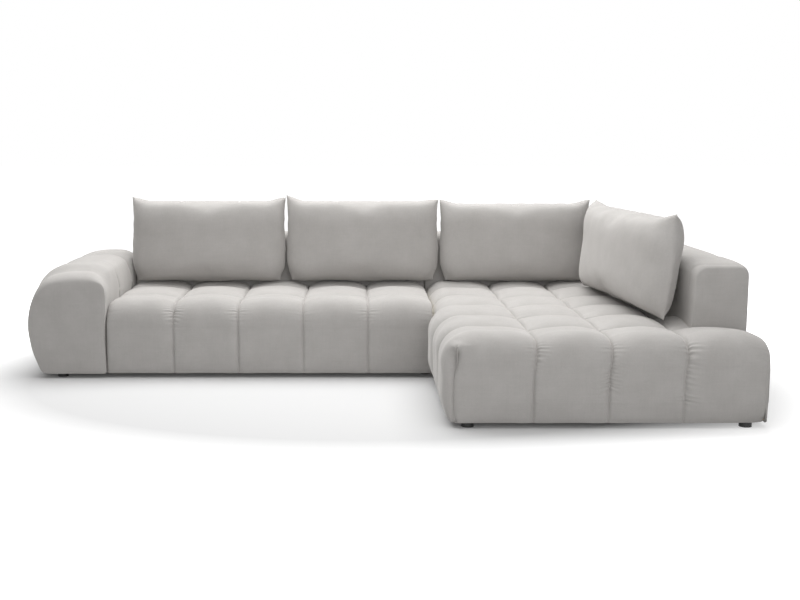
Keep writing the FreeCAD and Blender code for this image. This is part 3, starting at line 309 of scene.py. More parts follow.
def wire(tree, shader, colour, relief, roughness):
    """Give a shader its colour, relief and roughness."""
    link(tree, colour, "Color", shader, "Base Color")
    link(tree, relief, "Normal", shader, "Normal")
    put(shader, "Roughness", roughness)


def velvet(name, dark, light):
    """Short-pile upholstery velvet: crossed threads, brushed nap and soft sheen."""
    material, tree, shader = new_material(name)
    even = coordinates(tree, (1, 1, 1))
    nap = noise(tree, even, 9, 5, 0.6)
    speck = noise(tree, even, 420, 2, 0.7)
    colour = ramp(tree, nap, "Fac", ((0.28, dark), (0.72, light)))
    grain = ramp(tree, speck, "Fac", ((0.3, (0.80, 0.80, 0.80)), (0.7, (1.0, 1.0, 1.0))))
    tone = mix(tree, "MULTIPLY", 0.55, colour.outputs["Color"], grain.outputs["Color"])
    for scale in ((9, 150, 150), (150, 150, 9)):
        thread = noise(tree, coordinates(tree, scale), 1.0, 3, 0.6)
        streak = ramp(tree, thread, "Fac", ((0.32, (0.86, 0.86, 0.86)), (0.62, (1.0, 1.0, 1.0))))
        tone = mix(tree, "MULTIPLY", 0.2, tone.outputs["Result"], streak.outputs["Color"])
    link(tree, tone, "Result", shader, "Base Color")
    weave = new_node(tree, "TexWave")
    weave.bands_direction = "DIAGONAL"
    put(weave, "Scale", 260)
    put(weave, "Distortion", 3.5)
    put(weave, "Detail", 2)
    link(tree, even, "Vector", weave, "Vector")
    coarse = bump(tree, nap, "Fac", 0.16, 0.004)
    fine = bump(tree, speck, "Fac", 0.35, 0.0012, coarse)
    thread = bump(tree, weave, "Fac", 0.12, 0.0006, fine)
    link(tree, thread, "Normal", shader, "Normal")
    put(shader, "Roughness", 0.92)
    put(shader, "Specular IOR Level", 0.18)
    put(shader, "Sheen Weight", 0.35)
    put(shader, "Sheen Roughness", 0.45)
    put(shader, "Sheen Tint", (0.95, 0.93, 0.90, 1))
    return material


def plain_cloth(name, dark, light, scale):
    """Plain woven or felted cloth for what lies under the covers."""
    material, tree, shader = new_material(name)
    even = coordinates(tree, (1, 1, 1))
    fibre = noise(tree, even, scale, 4, 0.7)
    colour = ramp(tree, fibre, "Fac", ((0.3, dark), (0.7, light)))
    rough = bump(tree, fibre, "Fac", 0.4, 0.002)
    wire(tree, shader, colour, rough, 0.95)
    return material


def timber(name, dark, light, along):
    """Sawn timber with grain along one axis."""
    material, tree, shader = new_material(name)
    scale = [14, 14, 14]
    scale[along] = 1.2
    stretched = coordinates(tree, tuple(scale))
    grain = noise(tree, stretched, 6, 6, 0.6)
    colour = ramp(tree, grain, "Fac", ((0.3, dark), (0.7, light)))
    ridge = bump(tree, grain, "Fac", 0.3, 0.002)
    wire(tree, shader, colour, ridge, 0.7)
    return material


def moulded_plastic(name, dark, light):
    """Black moulded plastic with a fine spark-eroded grain."""
    material, tree, shader = new_material(name)
    even = coordinates(tree, (1, 1, 1))
    grain = noise(tree, even, 900, 3, 0.6)
    cloud = noise(tree, even, 40, 3, 0.5)
    colour = ramp(tree, cloud, "Fac", ((0.35, dark), (0.65, light)))
    rough = bump(tree, grain, "Fac", 0.25, 0.0005)
    wire(tree, shader, colour, rough, 0.42)
    return material


def zinc(name):
    """Zinc-plated steel with a faint mottle."""
    material, tree, shader = new_material(name)
    even = coordinates(tree, (1, 1, 1))
    mottle = noise(tree, even, 120, 4, 0.6)
    colour = ramp(tree, mottle, "Fac", ((0.3, (0.52, 0.53, 0.54)), (0.7, (0.68, 0.69, 0.70))))
    link(tree, colour, "Color", shader, "Base Color")
    put(shader, "Metallic", 1.0)
    put(shader, "Roughness", 0.38)
    return material


FABRIC_DARK = (0.430, 0.414, 0.398)
FABRIC_LIGHT = (0.478, 0.462, 0.446)
seat_velvet = velvet("seat_velvet", FABRIC_DARK, FABRIC_LIGHT)
cushion_velvet = velvet("cushion_velvet", FABRIC_DARK, FABRIC_LIGHT)
HIDDEN_MATERIALS = {
    "foam": plain_cloth("upholstery_foam", (0.72, 0.68, 0.52), (0.84, 0.80, 0.66), 160),
    "filling": plain_cloth("fibre_filling", (0.82, 0.81, 0.79), (0.95, 0.94, 0.92), 60),
    "felt": plain_cloth("grey_felt", (0.28, 0.27, 0.26), (0.46, 0.45, 0.43), 220),
    "webbing": plain_cloth("elastic_webbing", (0.05, 0.05, 0.055), (0.13, 0.13, 0.14), 500),
    "dust_cloth": plain_cloth("dust_cloth", (0.02, 0.02, 0.02), (0.055, 0.055, 0.055), 420),
    "pine": timber("sawn_pine", (0.48, 0.32, 0.17), (0.72, 0.53, 0.32), 0),
    "plywood": timber("plywood", (0.44, 0.30, 0.17), (0.62, 0.45, 0.28), 1),
    "foot_plastic": moulded_plastic("foot_plastic", (0.010, 0.010, 0.010), (0.022, 0.022, 0.022)),
    "zinc_steel": zinc("zinc_steel"),
}


def dress_frame():
    """Give every carried-over CAD node its material."""
    for entry in frame["record"]["subparts"]:
        node = frame["nodes"][entry["node"]]
        material = HIDDEN_MATERIALS.get(entry["material_slot"])
        if material is not None:
            node.data.materials.clear()
            node.data.materials.append(material)


# Seats: a grid wraps the front, the top and, on the chaise, the free left side.

def roll_radius(t, full, small):
    """Radius of a roll: full over the top and small where two walls meet."""
    return full + (small - full) * smooth(-t, 0.0, 0.13)


def wrap_point(a, b, left, front, level, wall_left):
    """Point of a seat at seam depth, from its lengths over the left and front edges."""
    radius_a = roll_radius(b, SEAT_ROLL, CORNER_ROLL)
    radius_b = roll_radius(a, SEAT_ROLL, CORNER_ROLL) if wall_left else np.full_like(a, SEAT_ROLL)
    inb, downb, turnb = edge_path(b, radius_b)
    if not wall_left:
        return left + a, front + inb, level - downb, np.full_like(a, math.pi / 2), turnb
    ina, downa, turna = edge_path(a, radius_a)
    bend = 1 - math.cos(math.pi / 4)
    wall_a = np.clip(1 - ina / radius_a, 0, 1)
    wall_b = np.clip(1 - inb / radius_b, 0, 1)
    short_a = np.minimum(downa, bend * radius_a) * (1 - smooth(-a, 0.0, 0.15))
    short_b = np.minimum(downb, bend * radius_b) * (1 - smooth(-b, 0.0, 0.15))
    chamfer_b = np.where(b < 0, downa, short_a)
    chamfer_a = np.where(a < 0, downb, short_b)
    x = left + ina + chamfer_a * wall_a
    y = front + inb + chamfer_b * wall_b
    z = level - downa - downb + chamfer_a * wall_a + chamfer_b * wall_b
    return x, y, z, turna, turnb


def wrap_grid(across, along, wall_left):
    """Grid of lengths with the front wall sewn to the left wall at the corner."""
    index = {}
    lengths = []

    def add(a, b):
        sewn = wall_left and a < -1e-9 and abs(b) < 1e-9
        key = (0.0, round(a, 6)) if sewn else (round(a, 6), round(b, 6))
        if key not in index:
            index[key] = len(lengths)
            lengths.append(key)
        return index[key]

    faces = []
    for i in range(len(across) - 1):
        for j in range(len(along) - 1):
            a0, a1, b0, b1 = across[i], across[i + 1], along[j], along[j + 1]
            if a0 < -1e-9 and b0 < -1e-9:
                continue
            faces.append((add(a0, b0), add(a1, b0), add(a1, b1), add(a0, b1)))
    return np.array(lengths), faces


def drop_faces(points, faces, inside):
    """Leave out faces whose middle is inside a region, and points no face uses."""
    kept = [f for f in faces if not inside(points[list(f)].mean(axis=0))]
    used = sorted({v for f in kept for v in f})
    renumber = {old: new for new, old in enumerate(used)}
    return used, [tuple(renumber[v] for v in f) for f in kept]


def seat_lengths(left, right, front, rear, columns, rows, wall_left):
    """Wall, seams and ends of a seat as lengths over its left and front edges, and the
    rules that turn a plane into such a length."""
    half = math.pi * SEAT_ROLL / 4
    wall = SEAM - FLOOR - SEAT_ROLL + half
    to_b = lambda y: y - front - SEAT_ROLL + half
    to_a = (lambda x: x - left - SEAT_ROLL + half) if wall_left else (lambda x: x - left)
    seams_a, seams_b = [to_a(x) for x in columns], [to_b(y) for y in rows]
    end_a, end_b = to_a(right), to_b(rear)
    return wall, seams_a, seams_b, end_a, end_b, to_a, to_b


def seat_swell(points, a, b, da, db, turna, turnb, wall_left):
    """How far a seat puffs out at each point, and how full it is there, 0 to 1. a and b
    are lengths over the left and front edges, da and db distances to a seam."""
    wall_b, wall_a = np.cos(turnb) ** 2, np.cos(turna) ** 2
    free = 1 - smooth(points[:, 1], SEAT_LOW.y - 0.07, SEAT_LOW.y + 0.01)
    left_swell = LEFT_SWELL * free + 0.004
    amount = CROWN + (FRONT_SWELL - CROWN) * wall_b + (left_swell - CROWN) * wall_a
    amount += SHOULDER * np.sin(2 * turnb) + SHOULDER * 0.7 * np.sin(2 * turna)
    reach_a = CHANNEL * (0.47 - 0.27 * wall_b)
    reach_b = ROW * (0.47 - 0.20 * wall_a)
    above_hem = np.clip((points[:, 2] - FLOOR) / 0.11, 0, 1)
    hem = 0.25 + 0.75 * np.sin(above_hem * math.pi / 2)
    full = dome(da, reach_a) * dome(db, reach_b) ** (1 - 0.35 * wall_a) * hem
    if wall_left:
        corner = np.where(b < 0, np.clip(a, 0, None), np.where(a < 0, np.clip(b, 0, None), 1.0))
        from_top = np.hypot(np.clip(a, 0, None), np.clip(b, 0, None))
        full *= 1 - (1 - dome(np.minimum(corner, from_top), 0.060)) * 0.6
    return amount * full, full


def seat_folds(a, b, da, db, to_a, marks):
    """Fine folds along all seams and deep ones at the marks: a seam's plane, two ends
    along it, the folds' wavelength and depth, and the depth's share left and right."""
    folds = (gathers(b, da, 11, 0.022, 0.04) + gathers(a, db, 23, 0.024, 0.04)) * FOLD_DEPTH
    for plane, low, high, wave, depth, sides in marks:
        near = smooth(b, low - 0.02, low + 0.02) * (1 - smooth(b, high - 0.02, high + 0.02))
        off = a - to_a(plane)
        side = np.where(off > 0, sides[1], sides[0])
        off = np.abs(off)
        fade = np.exp(-(off / 0.030) ** 1.5) * np.clip(off / 0.002, 0, 1)
        phase = 2 * math.pi * (b + 0.25 * off) / wave + ripple(b, 31, 0.11) * 2.2
        folds += depth * side * near * fade * np.sin(phase)
    return folds


def shape_chaise(moved, inner, a, b, end_a, turnb):
    """Draw in the chaise's free front corner, and its cover and foam at the outer one."""
    far = np.hypot(a, b)
    moved += np.exp(-(far / 0.065) ** 2)[:, None] * NOSE_ROUND
    moved += np.exp(-(far / 0.018) ** 2)[:, None] * NOSE_TIP
    low = np.clip((FLOOR + 0.09 - moved[:, 2]) / 0.09, 0, 1)
    turned = np.exp(-(end_a - a) / 0.05) * low ** 2 * (b < 0)
    moved[:, 1] += 0.028 * turned
    inner[:, 1] += 0.040 * turned
    inner[:, 0] -= 0.022 * (end_a - a < 0.03)
    edge = np.exp(-(end_a - a) / 0.06)
    moved[:, 2] -= 0.014 * edge * np.sin(turnb)


def build_seat(name, left, right, front, rear, columns, rows, wall_left, marks, cut=None):
    """One quilted seat cover and its foam. columns are seam planes in X, rows in Y, cut
    the corner taken by the side back. Gives the cover and the chaise's right seam."""
    front += FRONT_INSET
    wall, seams_a, seams_b, end_a, end_b, to_a, to_b = seat_lengths(
        left, right, front, rear, columns, rows, wall_left)
    stops_b = [-wall, -0.22, 0.0, 0.07] + seams_b + [end_b]
    steps_b = [STEP, FINE, FINE] + [STEP] * len(stops_b)
    stops_a = ([-wall, 0.0] if wall_left else [0.0]) + seams_a + [end_a]
    steps_a = [STEP] * len(stops_a)
    if cut is not None:
        stops_a = sorted(stops_a + [to_a(cut[0])])
        stops_b = sorted(stops_b + [to_b(cut[1])])
    lengths, faces = wrap_grid(spaced(stops_a, steps_a), spaced(stops_b, steps_b), wall_left)
    a, b = lengths[:, 0], lengths[:, 1]
    x, y, z, turna, turnb = wrap_point(a, b, left, front, SEAM, wall_left)
    points = np.column_stack([x, y, z])
    if cut is not None:
        used, faces = drop_faces(points, faces, lambda p: p[0] > cut[0] and p[1] > cut[1])
        points, a, b, turna, turnb = points[used], a[used], b[used], turna[used], turnb[used]
    piece = mesh_object(name, points, faces)
    normals = vertex_normals(piece)
    if np.mean(normals[:, 2]) < 0:
        normals = -normals
        piece.data.flip_normals()
    da = nearest(a, seams_a + ([end_a] if wall_left else [0.0, end_a]))
    db = nearest(b, seams_b + [end_b + ROW * 0.3])
    puff, full = seat_swell(points, a, b, da, db, turna, turnb, wall_left)
    folds = seat_folds(a, b, da, db, to_a, marks)
    uneven = UNEVENNESS * (ripple(a + b * 0.4, 5, 0.41) + ripple(b - a * 0.3, 9, 0.53))
    stitch = -STITCH_DEPTH * np.exp(-(np.minimum(da, db) / STITCH_WIDTH) ** 2)
    moved = points + normals * (puff + folds + uneven * full + stitch)[:, None]
    inner = points + normals * (puff * FOAM_SHARE - FOAM_INSET)[:, None]
    tuck = np.clip(1 - (points[:, 2] - FLOOR) / 0.022, 0, 1) ** 2
    moved += normals * (-0.006 * tuck)[:, None]
    if wall_left:
        shape_chaise(moved, inner, a, b, end_a, turnb)
    moved[:, 2] -= HEM_DROP * np.exp(-np.clip(moved[:, 2] - FLOOR, 0, None) / 0.03)
    moved[:, 2] = np.maximum(moved[:, 2], FLOOR - HEM_DROP)
    core = mesh_object(name + "_foam_form", inner, faces)
    set_points(piece, moved)
    rim = None
    if wall_left:
        last = np.flatnonzero(np.abs(a - end_a) < 1e-6)
        rim = moved[last[np.argsort(b[last])]]
    close_down(piece, CUT_LEVEL, right if wall_left else None)
    close_down(core, FLOOR + 0.02)
    finish_core(core, name + "_foam", "sofa", "foam")
    return piece, rim


def panel(outline, place, swell, reach, step):
    """Flat panel inside a closed outline, filled with small triangles and a little
    proud in the middle. place(p, q, out) gives the point."""
    outline = np.array(outline)
    low, high = outline.min(axis=0), outline.max(axis=0)
    inner = []
    for p in np.arange(low[0] + step / 2, high[0], step):
        for q in np.arange(low[1] + step / 2, high[1], step):
            inner.append((p, q))
    inner = np.array(inner)
    ahead = np.roll(outline, -1, axis=0)
    crossing = np.zeros(len(inner), bool)
    gap = np.full(len(inner), 9.0)
    for here, there in zip(outline, ahead):
        straddle = (here[1] > inner[:, 1]) != (there[1] > inner[:, 1])
        with np.errstate(divide="ignore", invalid="ignore"):
            at = (there[0] - here[0]) * (inner[:, 1] - here[1]) / (there[1] - here[1]) + here[0]
        crossing ^= straddle & (inner[:, 0] < at)
        run = there - here
        share = np.clip(((inner - here) @ run) / max(run @ run, 1e-12), 0, 1)
        gap = np.minimum(gap, np.linalg.norm(inner - (here + share[:, None] * run), axis=1))
    keep = crossing & (gap > step * 0.45)
    inner, gap = inner[keep], gap[keep]
    flat = [Vector(p) for p in np.vstack([outline, inner])]
    count = len(outline)
    edges = [(k, (k + 1) % count) for k in range(count)]
    verts, _, faces, origin, _, _ = delaunay_2d_cdt(flat, edges, [], 1, 1e-6)
    height = np.concatenate([np.zeros(count), dome(gap, reach)])
    points = []
    for v, source in zip(verts, origin):
        lift = height[source[0]] if source else 0.0
        points.append(place(v.x, v.y, swell * lift))
    return points, [tuple(f) for f in faces]


def join(pieces, name):
    """One object from several that share their edges."""
    bpy.ops.object.select_all(action="DESELECT")
    for piece in pieces:
        piece.select_set(True)
    bpy.context.view_layer.objects.active = pieces[0]
    bpy.ops.object.join()
    pieces[0].name = name
    return pieces[0]


def finish_padded(piece, node, body="sofa", material=seat_velvet, joined=True):
    """Smooth a padded piece that stands for a CAD node, hide that node and attach the piece to its body.
    """
    finish_mesh(piece, material, joined)
    smoother = piece.modifiers.new("smooth", "SUBSURF")
    smoother.levels = smoother.render_levels = 1
    smoother.boundary_smooth = "PRESERVE_CORNERS"
    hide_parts(node)
    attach(piece, body)


def foam_inside(piece, node, inset, body="sofa", slot="foam", joined=True, front=None):
    """Foam or filling just under a cover: the cover's own form, a little smaller, and
    kept behind and left of a front corner where one is given."""
    finish_mesh(piece, cushion_velvet, joined)
    points = get_points(piece.data) - vertex_normals(piece) * inset
    if front is not None:
        points[:, 1] = np.maximum(points[:, 1], front.y)
        points[:, 0] = np.minimum(points[:, 0], front.x)
    core = add_object(node + "_form", piece.data.copy())
    set_points(core, points)
    finish_core(core, node, body, slot)


def finish_core(core, node, body, slot):
    """Thin out a piece of foam or filling, hide the CAD node it stands for and attach it to its body."""
    thin = core.modifiers.new("thin", "DECIMATE")
    thin.ratio = 0.4
    apply_modifiers(core)
    finish_mesh(core, HIDDEN_MATERIALS[slot], False)
    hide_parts(node)
    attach(core, body)


def apply_modifiers(piece):
    """Keep the mesh that the modifiers give and drop them."""
    depsgraph = bpy.context.evaluated_depsgraph_get()
    mesh = bpy.data.meshes.new_from_object(piece.evaluated_get(depsgraph))
    piece.modifiers.clear()
    piece.data = mesh


def build_seats():
    """The sofa's seat and the chaise's. Gives the chaise's right edge seam."""
    columns = [SEAT_LOW.x + CHANNEL * k for k in range(1, 5)]
    front = SEAT_LOW.y
    rows = [front + FIRST_ROW, front + FIRST_ROW + ROW]
    marks = [(columns[0], -0.07, 0.03, 0.0140, 0.0045, (0.7, 1.0)),
             (columns[1], -0.03, 0.03, 0.0150, 0.0030, (1.0, 0.6)),
             (columns[3], -0.05, 0.02, 0.0160, 0.0026, (0.8, 0.8))]
    under_arm = SEAT_LOW.x - 0.010
    sofa, _ = build_seat("sofa_seat", under_arm, SEAT_HIGH.x, front, SEAT_HIGH.y, columns, rows,
                         False, marks)
    finish_padded(sofa, "sofa_seat_cover")
    first_column, column_width = 0.348, 0.306
    columns = [CORNER_LOW.x + first_column + column_width * k for k in range(3)]
    front = -cad_high.y  # as far forward as the backs are rearward
    rows = [front + FIRST_ROW + ROW * k for k in range(5)]
    marks = [(columns[0], -0.10, 0.02, 0.0150, 0.0042, (0.3, 1.0)),
             (columns[1], -0.17, -0.06, 0.0150, 0.0070, (0.8, 1.0)),
             (columns[1], -0.05, 0.03, 0.0170, 0.0026, (0.6, 0.8)),
             (columns[2], -0.24, 0.02, 0.0230, 0.0052, (0.2, 1.0))]
    overlap = 0.010  # how far the seat runs in under the side back
    chaise, rim = build_seat("chaise_seat", CHAISE_WALL, SIDE_HIGH.x - overlap, front, SEAT_HIGH.y,
                             columns, rows, True, marks,
                             cut=(SIDE_LOW.x + overlap, SIDE_LOW.y + overlap))
    finish_padded(chaise, "chaise_seat_cover")
    return rim


# Bolsters: the arm and the backs are an outline run along a line, puffed between
# seams, with soft edges round a flat panel at each end.

def resample(points, step, count=None):
    """Points evenly spaced along a closed outline."""
    closed = np.vstack([points, points[:1]])
    length = np.concatenate([[0], np.cumsum(np.linalg.norm(np.diff(closed, axis=0), axis=1))])
    count = count or max(24, int(round(length[-1] / step)))
    at = np.linspace(0, length[-1], count, endpoint=False)
    return np.column_stack([np.interp(at, length, closed[:, k]) for k in range(2)])


def rounded_outline(corners, radii):
    """Closed outline through corners, each rounded by its radius."""
    outline = []
    count = len(corners)
    for i in range(count):
        here = np.array(corners[i], float)
        before = np.array(corners[i - 1], float) - here
        after = np.array(corners[(i + 1) % count], float) - here
        start = here + before / np.linalg.norm(before) * radii[i]
        stop = here + after / np.linalg.norm(after) * radii[i]
        for t in np.linspace(0, 1, ROUND_STEPS):
            outline.append((1 - t) ** 2 * start + 2 * t * (1 - t) * here + t ** 2 * stop)
    return np.array(outline)


def outline_normals(outline):
    ahead = np.roll(outline, -1, axis=0) - np.roll(outline, 1, axis=0)
    normals = np.column_stack([ahead[:, 1], -ahead[:, 0]])
    normals /= np.linalg.norm(normals, axis=1)[:, None]
    twice = np.sum(outline[:, 0] * np.roll(outline[:, 1], -1) - np.roll(outline[:, 0], -1) * outline[:, 1])
    return normals if twice > 0 else -normals


def build_bolster(name, outline, place, start, stop, seams, swell, ends, panel_swell, seed,
                  groove=0.0035, face=None):
    """outline: closed points; place(p, q, along) gives a point; swell(p, q) is how much
    of the puff a point gets; ends(normal, last) gives its soft end: inset, depth; face
    is the outline of the first end's panel where it isn't the outline set in."""
    outline = resample(np.array(outline), STEP)
    normals = outline_normals(outline)
    if face is not None:
        face = resample(np.array(face), STEP, len(outline))
    share = np.array([swell(p, q) for p, q in outline])
    around = np.arange(len(outline)) * STEP
    points, rings = [], []

    def ring(flat, along):
        base = len(points)
        points.extend(place(p, q, s) for (p, q), s in zip(flat, along))
        rings.append(list(range(base, base + len(outline))))

    def end_ring(turn, origin, sign, soft):
        inset, depth = soft[:, 0], soft[:, 1]
        flat = outline - normals * (inset * (1 - math.sin(turn)))[:, None]
        if face is not None and sign > 0:
            flat = outline + (face - outline) * (1 - math.sin(turn))
        ring(flat, origin + sign * depth * (1 - math.cos(turn)))

    soft_start = np.array([ends(normal, False) for normal in normals])
    soft_stop = np.array([ends(normal, True) for normal in normals])
    turns = np.linspace(0, math.pi / 2, 9)
    for turn in turns:
        end_ring(turn, start, 1, soft_start)
    low, high = soft_start[:, 1], soft_stop[:, 1]
    run = spaced([0.0] + [(s - start) / (stop - start) for s in seams] + [1.0],
                 [STEP / (stop - start)] * (len(seams) + 1))[1:-1]
    for t in run:
        along = (start + low) + ((stop - high) - (start + low)) * t
        middle = start + (stop - start) * t
        gap = np.min(np.abs(middle - np.array(seams))) if seams else 1.0
        along = along + (middle - along) * math.exp(-(gap / SEAM_PULL) ** 2)
        to_end = np.minimum(along - start - low, stop - high - along)
        puffed = dome(np.array([gap]), BOLSTER_REACH)[0] if seams else 1.0
        rise = dome(np.clip(to_end, 0, None), BOLSTER_REACH)
        if face is not None:
            rise = smooth(to_end, 0.0, 0.10)
        lift = share * puffed * rise
        fold = gathers(around, np.full(len(outline), gap), seed, 0.026, 0.04) * 0.0013
        fold = fold - groove * math.exp(-(gap / 0.0065) ** 2)
        lift = lift + np.where(share > 0.0005, fold, 0.0)
        ring(outline + normals * lift[:, None], along)
    for turn in turns[::-1]:
        end_ring(turn, stop, -1, soft_stop)
    faces = []
    for first, second in zip(rings, rings[1:]):
        for k in range(len(first)):
            n = (k + 1) % len(first)
            faces.append((first[k], first[n], second[n], second[k]))
    pieces = [mesh_object(name, points, faces)]
    for soft, at, out in ((soft_start, start, -1), (soft_stop, stop, 1)):
        flat = outline - normals * soft[:, 0][:, None] if face is None or out > 0 else face
        filled, triangles = panel(flat, lambda p, q, d: place(p, q, at + out * d), panel_swell, 0.10,
                                  0.014)
        pieces.append(mesh_object(name + "_end", filled, triangles))
    return join(pieces, name)


def build_arm():
    """The rounded arm: its outline flares outward, and its front face is smaller."""
    left, right = ARM_LOW.x, ARM_HIGH.x
    top = ARM_HIGH.z - 0.024
    base = FLOOR - HEM_DROP
    corners = [(left + 0.072, base), (left + 0.030, 0.130), (left + 0.010, 0.262),
               (left + 0.026, 0.390), (left + 0.082, 0.486), (left + 0.190, top),
               (right - 0.060, top), (right - 0.001, top - 0.085), (right - 0.018, 0.22),
               (right - 0.012, base)]
    radii = [0.030, 0.05, 0.06, 0.06, 0.05, 0.06, 0.055, 0.045, 0.08, 0.006]
    outline = rounded_outline(corners, radii)
    face = rounded_outline([(left + 0.078, base), (left + 0.032, 0.131), (left + 0.012, 0.244),
                            (left + 0.022, 0.330), (left + 0.062, 0.405), (left + 0.112, 0.450),
                            (left + 0.160, 0.466), (left + 0.264, 0.470), (right - 0.008, 0.468),
                            (right - 0.010, 0.320), (right - 0.018, 0.200), (right - 0.012, base)],
                           [0.030, 0.04, 0.04, 0.04, 0.03, 0.02, 0.03, 0.05, 0.045, 0.04, 0.04, 0.006])

    def swell(p, q):
        inner = np.clip((right - 0.004 - p) / 0.04, 0, 1)
        high = np.clip((q - FLOOR) / 0.15, 0, 1)
        side = np.clip((p - left - 0.03) / 0.10, 0, 1)
        return (0.014 + 0.016 * side) * inner * high

    def ends(normal, last):
        if last:
            return 0.012, 0.014
        up = max(0.0, normal[1])
        side = abs(normal[0])
        return 0.042 * up + 0.012 * side + 0.004, 0.085 * up + 0.024 * side + 0.004

    seams = [ARM_LOW.y + 0.345, ARM_LOW.y + 0.690]
    arm = build_bolster("arm", outline, lambda p, q, s: (p, s, q), ARM_LOW.y, ARM_HIGH.y, seams,
                        swell, ends, 0.006, 41, 0.018, face)
    foam_inside(arm, "arm_foam", FOAM_INSET, front=Vector((right - 0.034, ARM_LOW.y + 0.030)))
    finish_padded(arm, "arm_cover")

def back_outline(face_low, face_high, outer, top):
    """Section of a back as (depth, height): outer face, soft top, leaning front face."""
    corners = [(outer, FLOOR), (outer, top), (face_high, top), (face_low, FOAM_TOP), (face_low, FLOOR)]
    return rounded_outline(corners, [0.006, 0.045, 0.055, 0.03, 0.006])


def top_swell(outer):
    """How much of the puff a back gets: none at its foot or its outer face."""
    def swell(depth, height):
        up = np.clip((height - SEAM - 0.05) / 0.20, 0, 1)
        return 0.013 * up * np.clip((outer - depth) / 0.05, 0, 1)
    return swell


def side_back_ends(normal, last):
    """Soft ends of the side back, softest along the inner edge of its front."""
    if last:
        return 0.002, 0.004
    up, inner, outer = max(0.0, normal[1]), max(0.0, -normal[0]), max(0.0, normal[0])
    inset = 0.014 * up + 0.010 * inner + 0.008 * outer + 0.003
    depth = 0.022 * up + 0.050 * inner + 0.012 * outer + 0.004
    return inset, depth


def build_backs():
    """The sofa's back, the corner's and the chaise's side back."""
    top = REAR_HIGH.z - 0.013
    rear = REAR_HIGH.y
    outline = back_outline(REAR_LOW.y, REAR_LOW.y + 0.038, rear - 0.002, top)
    for name, low, high, count in (("sofa_back", REAR_LOW.x, REAR_HIGH.x, 3),
                                   ("corner_back", CORNER_LOW.x, CORNER_HIGH.x, 2)):
        seams = [low + (high - low) * k / count for k in range(1, count)]
        piece = build_bolster(name, outline, lambda p, q, s: (s, p, q), low, high, seams,
                              top_swell(rear - 0.012), lambda normal, last: (0.008, 0.012), 0.001,
                              57 + count)
        foam_inside(piece, name + "_foam", FOAM_INSET)
        finish_padded(piece, name + "_cover")
    right = SIDE_HIGH.x
    outline = back_outline(SIDE_LOW.x - 0.014, SIDE_LOW.x + 0.002, right - 0.012, top)
    seams = [SIDE_LOW.y + ROW, SIDE_LOW.y + ROW * 3]
    side = build_bolster("side_back", outline, lambda p, q, s: (p, s, q), SIDE_LOW.y, SIDE_HIGH.y,
                         seams, top_swell(right - 0.012), side_back_ends, 0.004, 73)
    foam_inside(side, "side_back_foam", FOAM_INSET)
    finish_padded(side, "side_back_cover")


def build_chaise_side(rim):
    """Flat side panel of the chaise, sewn along the edge seam."""
    thickness = 0.014
    outline = [(p[1], p[2]) for p in rim if p[1] < SIDE_LOW.y + 0.008]
    side = float(np.mean([p[0] for p in rim]))
    outline = outline + [(outline[-1][0], CUT_LEVEL), (outline[0][0], CUT_LEVEL)]
    outline = resample(np.array(outline), STEP)
    points, faces = panel(outline, lambda p, q, out: (side - 0.001 + out, p, q), 0.011, 0.05, 0.012)
    points += [(p[0] - thickness, p[1], p[2]) for p in points]
    count = len(points) // 2
    faces = faces + [tuple(v + count for v in reversed(f)) for f in faces]
    piece = mesh_object("chaise_side_panel", points, faces)
    finish_mesh(piece, seat_velvet)
    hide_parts("chaise_seat_cover")
    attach(piece, "sofa")


# Cushions: two flat panels sewn round their edge and blown up by a cloth simulation.

def pillow_mesh(name, width, height, depth):
    """Sewn panels as a mesh, its flat cut, and the points on the seam."""
    count_u, count_v = 71, 41
    grid_u, grid_v = np.meshgrid(np.linspace(-1, 1, count_u), np.linspace(-1, 1, count_v), indexing="ij")
    fat = ((1 - grid_u ** 4) * (1 - np.clip(grid_v, 0, 1) ** 5) * (1 - np.clip(-grid_v, 0, 1) ** 6)) ** 0.6
    index, start, flat, faces, rim = {}, [], [], [], []

    def vert(side, i, j):
        edge = i in (0, count_u - 1) or j in (0, count_v - 1)
        key = (0 if edge else side, i, j)
        if key not in index:
            index[key] = len(start)
            if edge:
                rim.append(len(start))
            out = (depth / 2 if side else -depth / 2) * fat[i, j]
            start.append((width / 2 * grid_u[i, j] * 0.98, out, height / 2 * grid_v[i, j] * 0.97))
            flat.append((width / 2 * grid_u[i, j], 0, height / 2 * grid_v[i, j]))
        return index[key]

    for side in (0, 1):
        for i in range(count_u - 1):
            for j in range(count_v - 1):
                quad = [vert(side, i, j), vert(side, i + 1, j)]
                quad += [vert(side, i + 1, j + 1), vert(side, i, j + 1)]
                faces.append(tuple(quad if side == 0 else quad[::-1]))
    return mesh_object(name, start, faces), np.array(flat), np.array(rim)


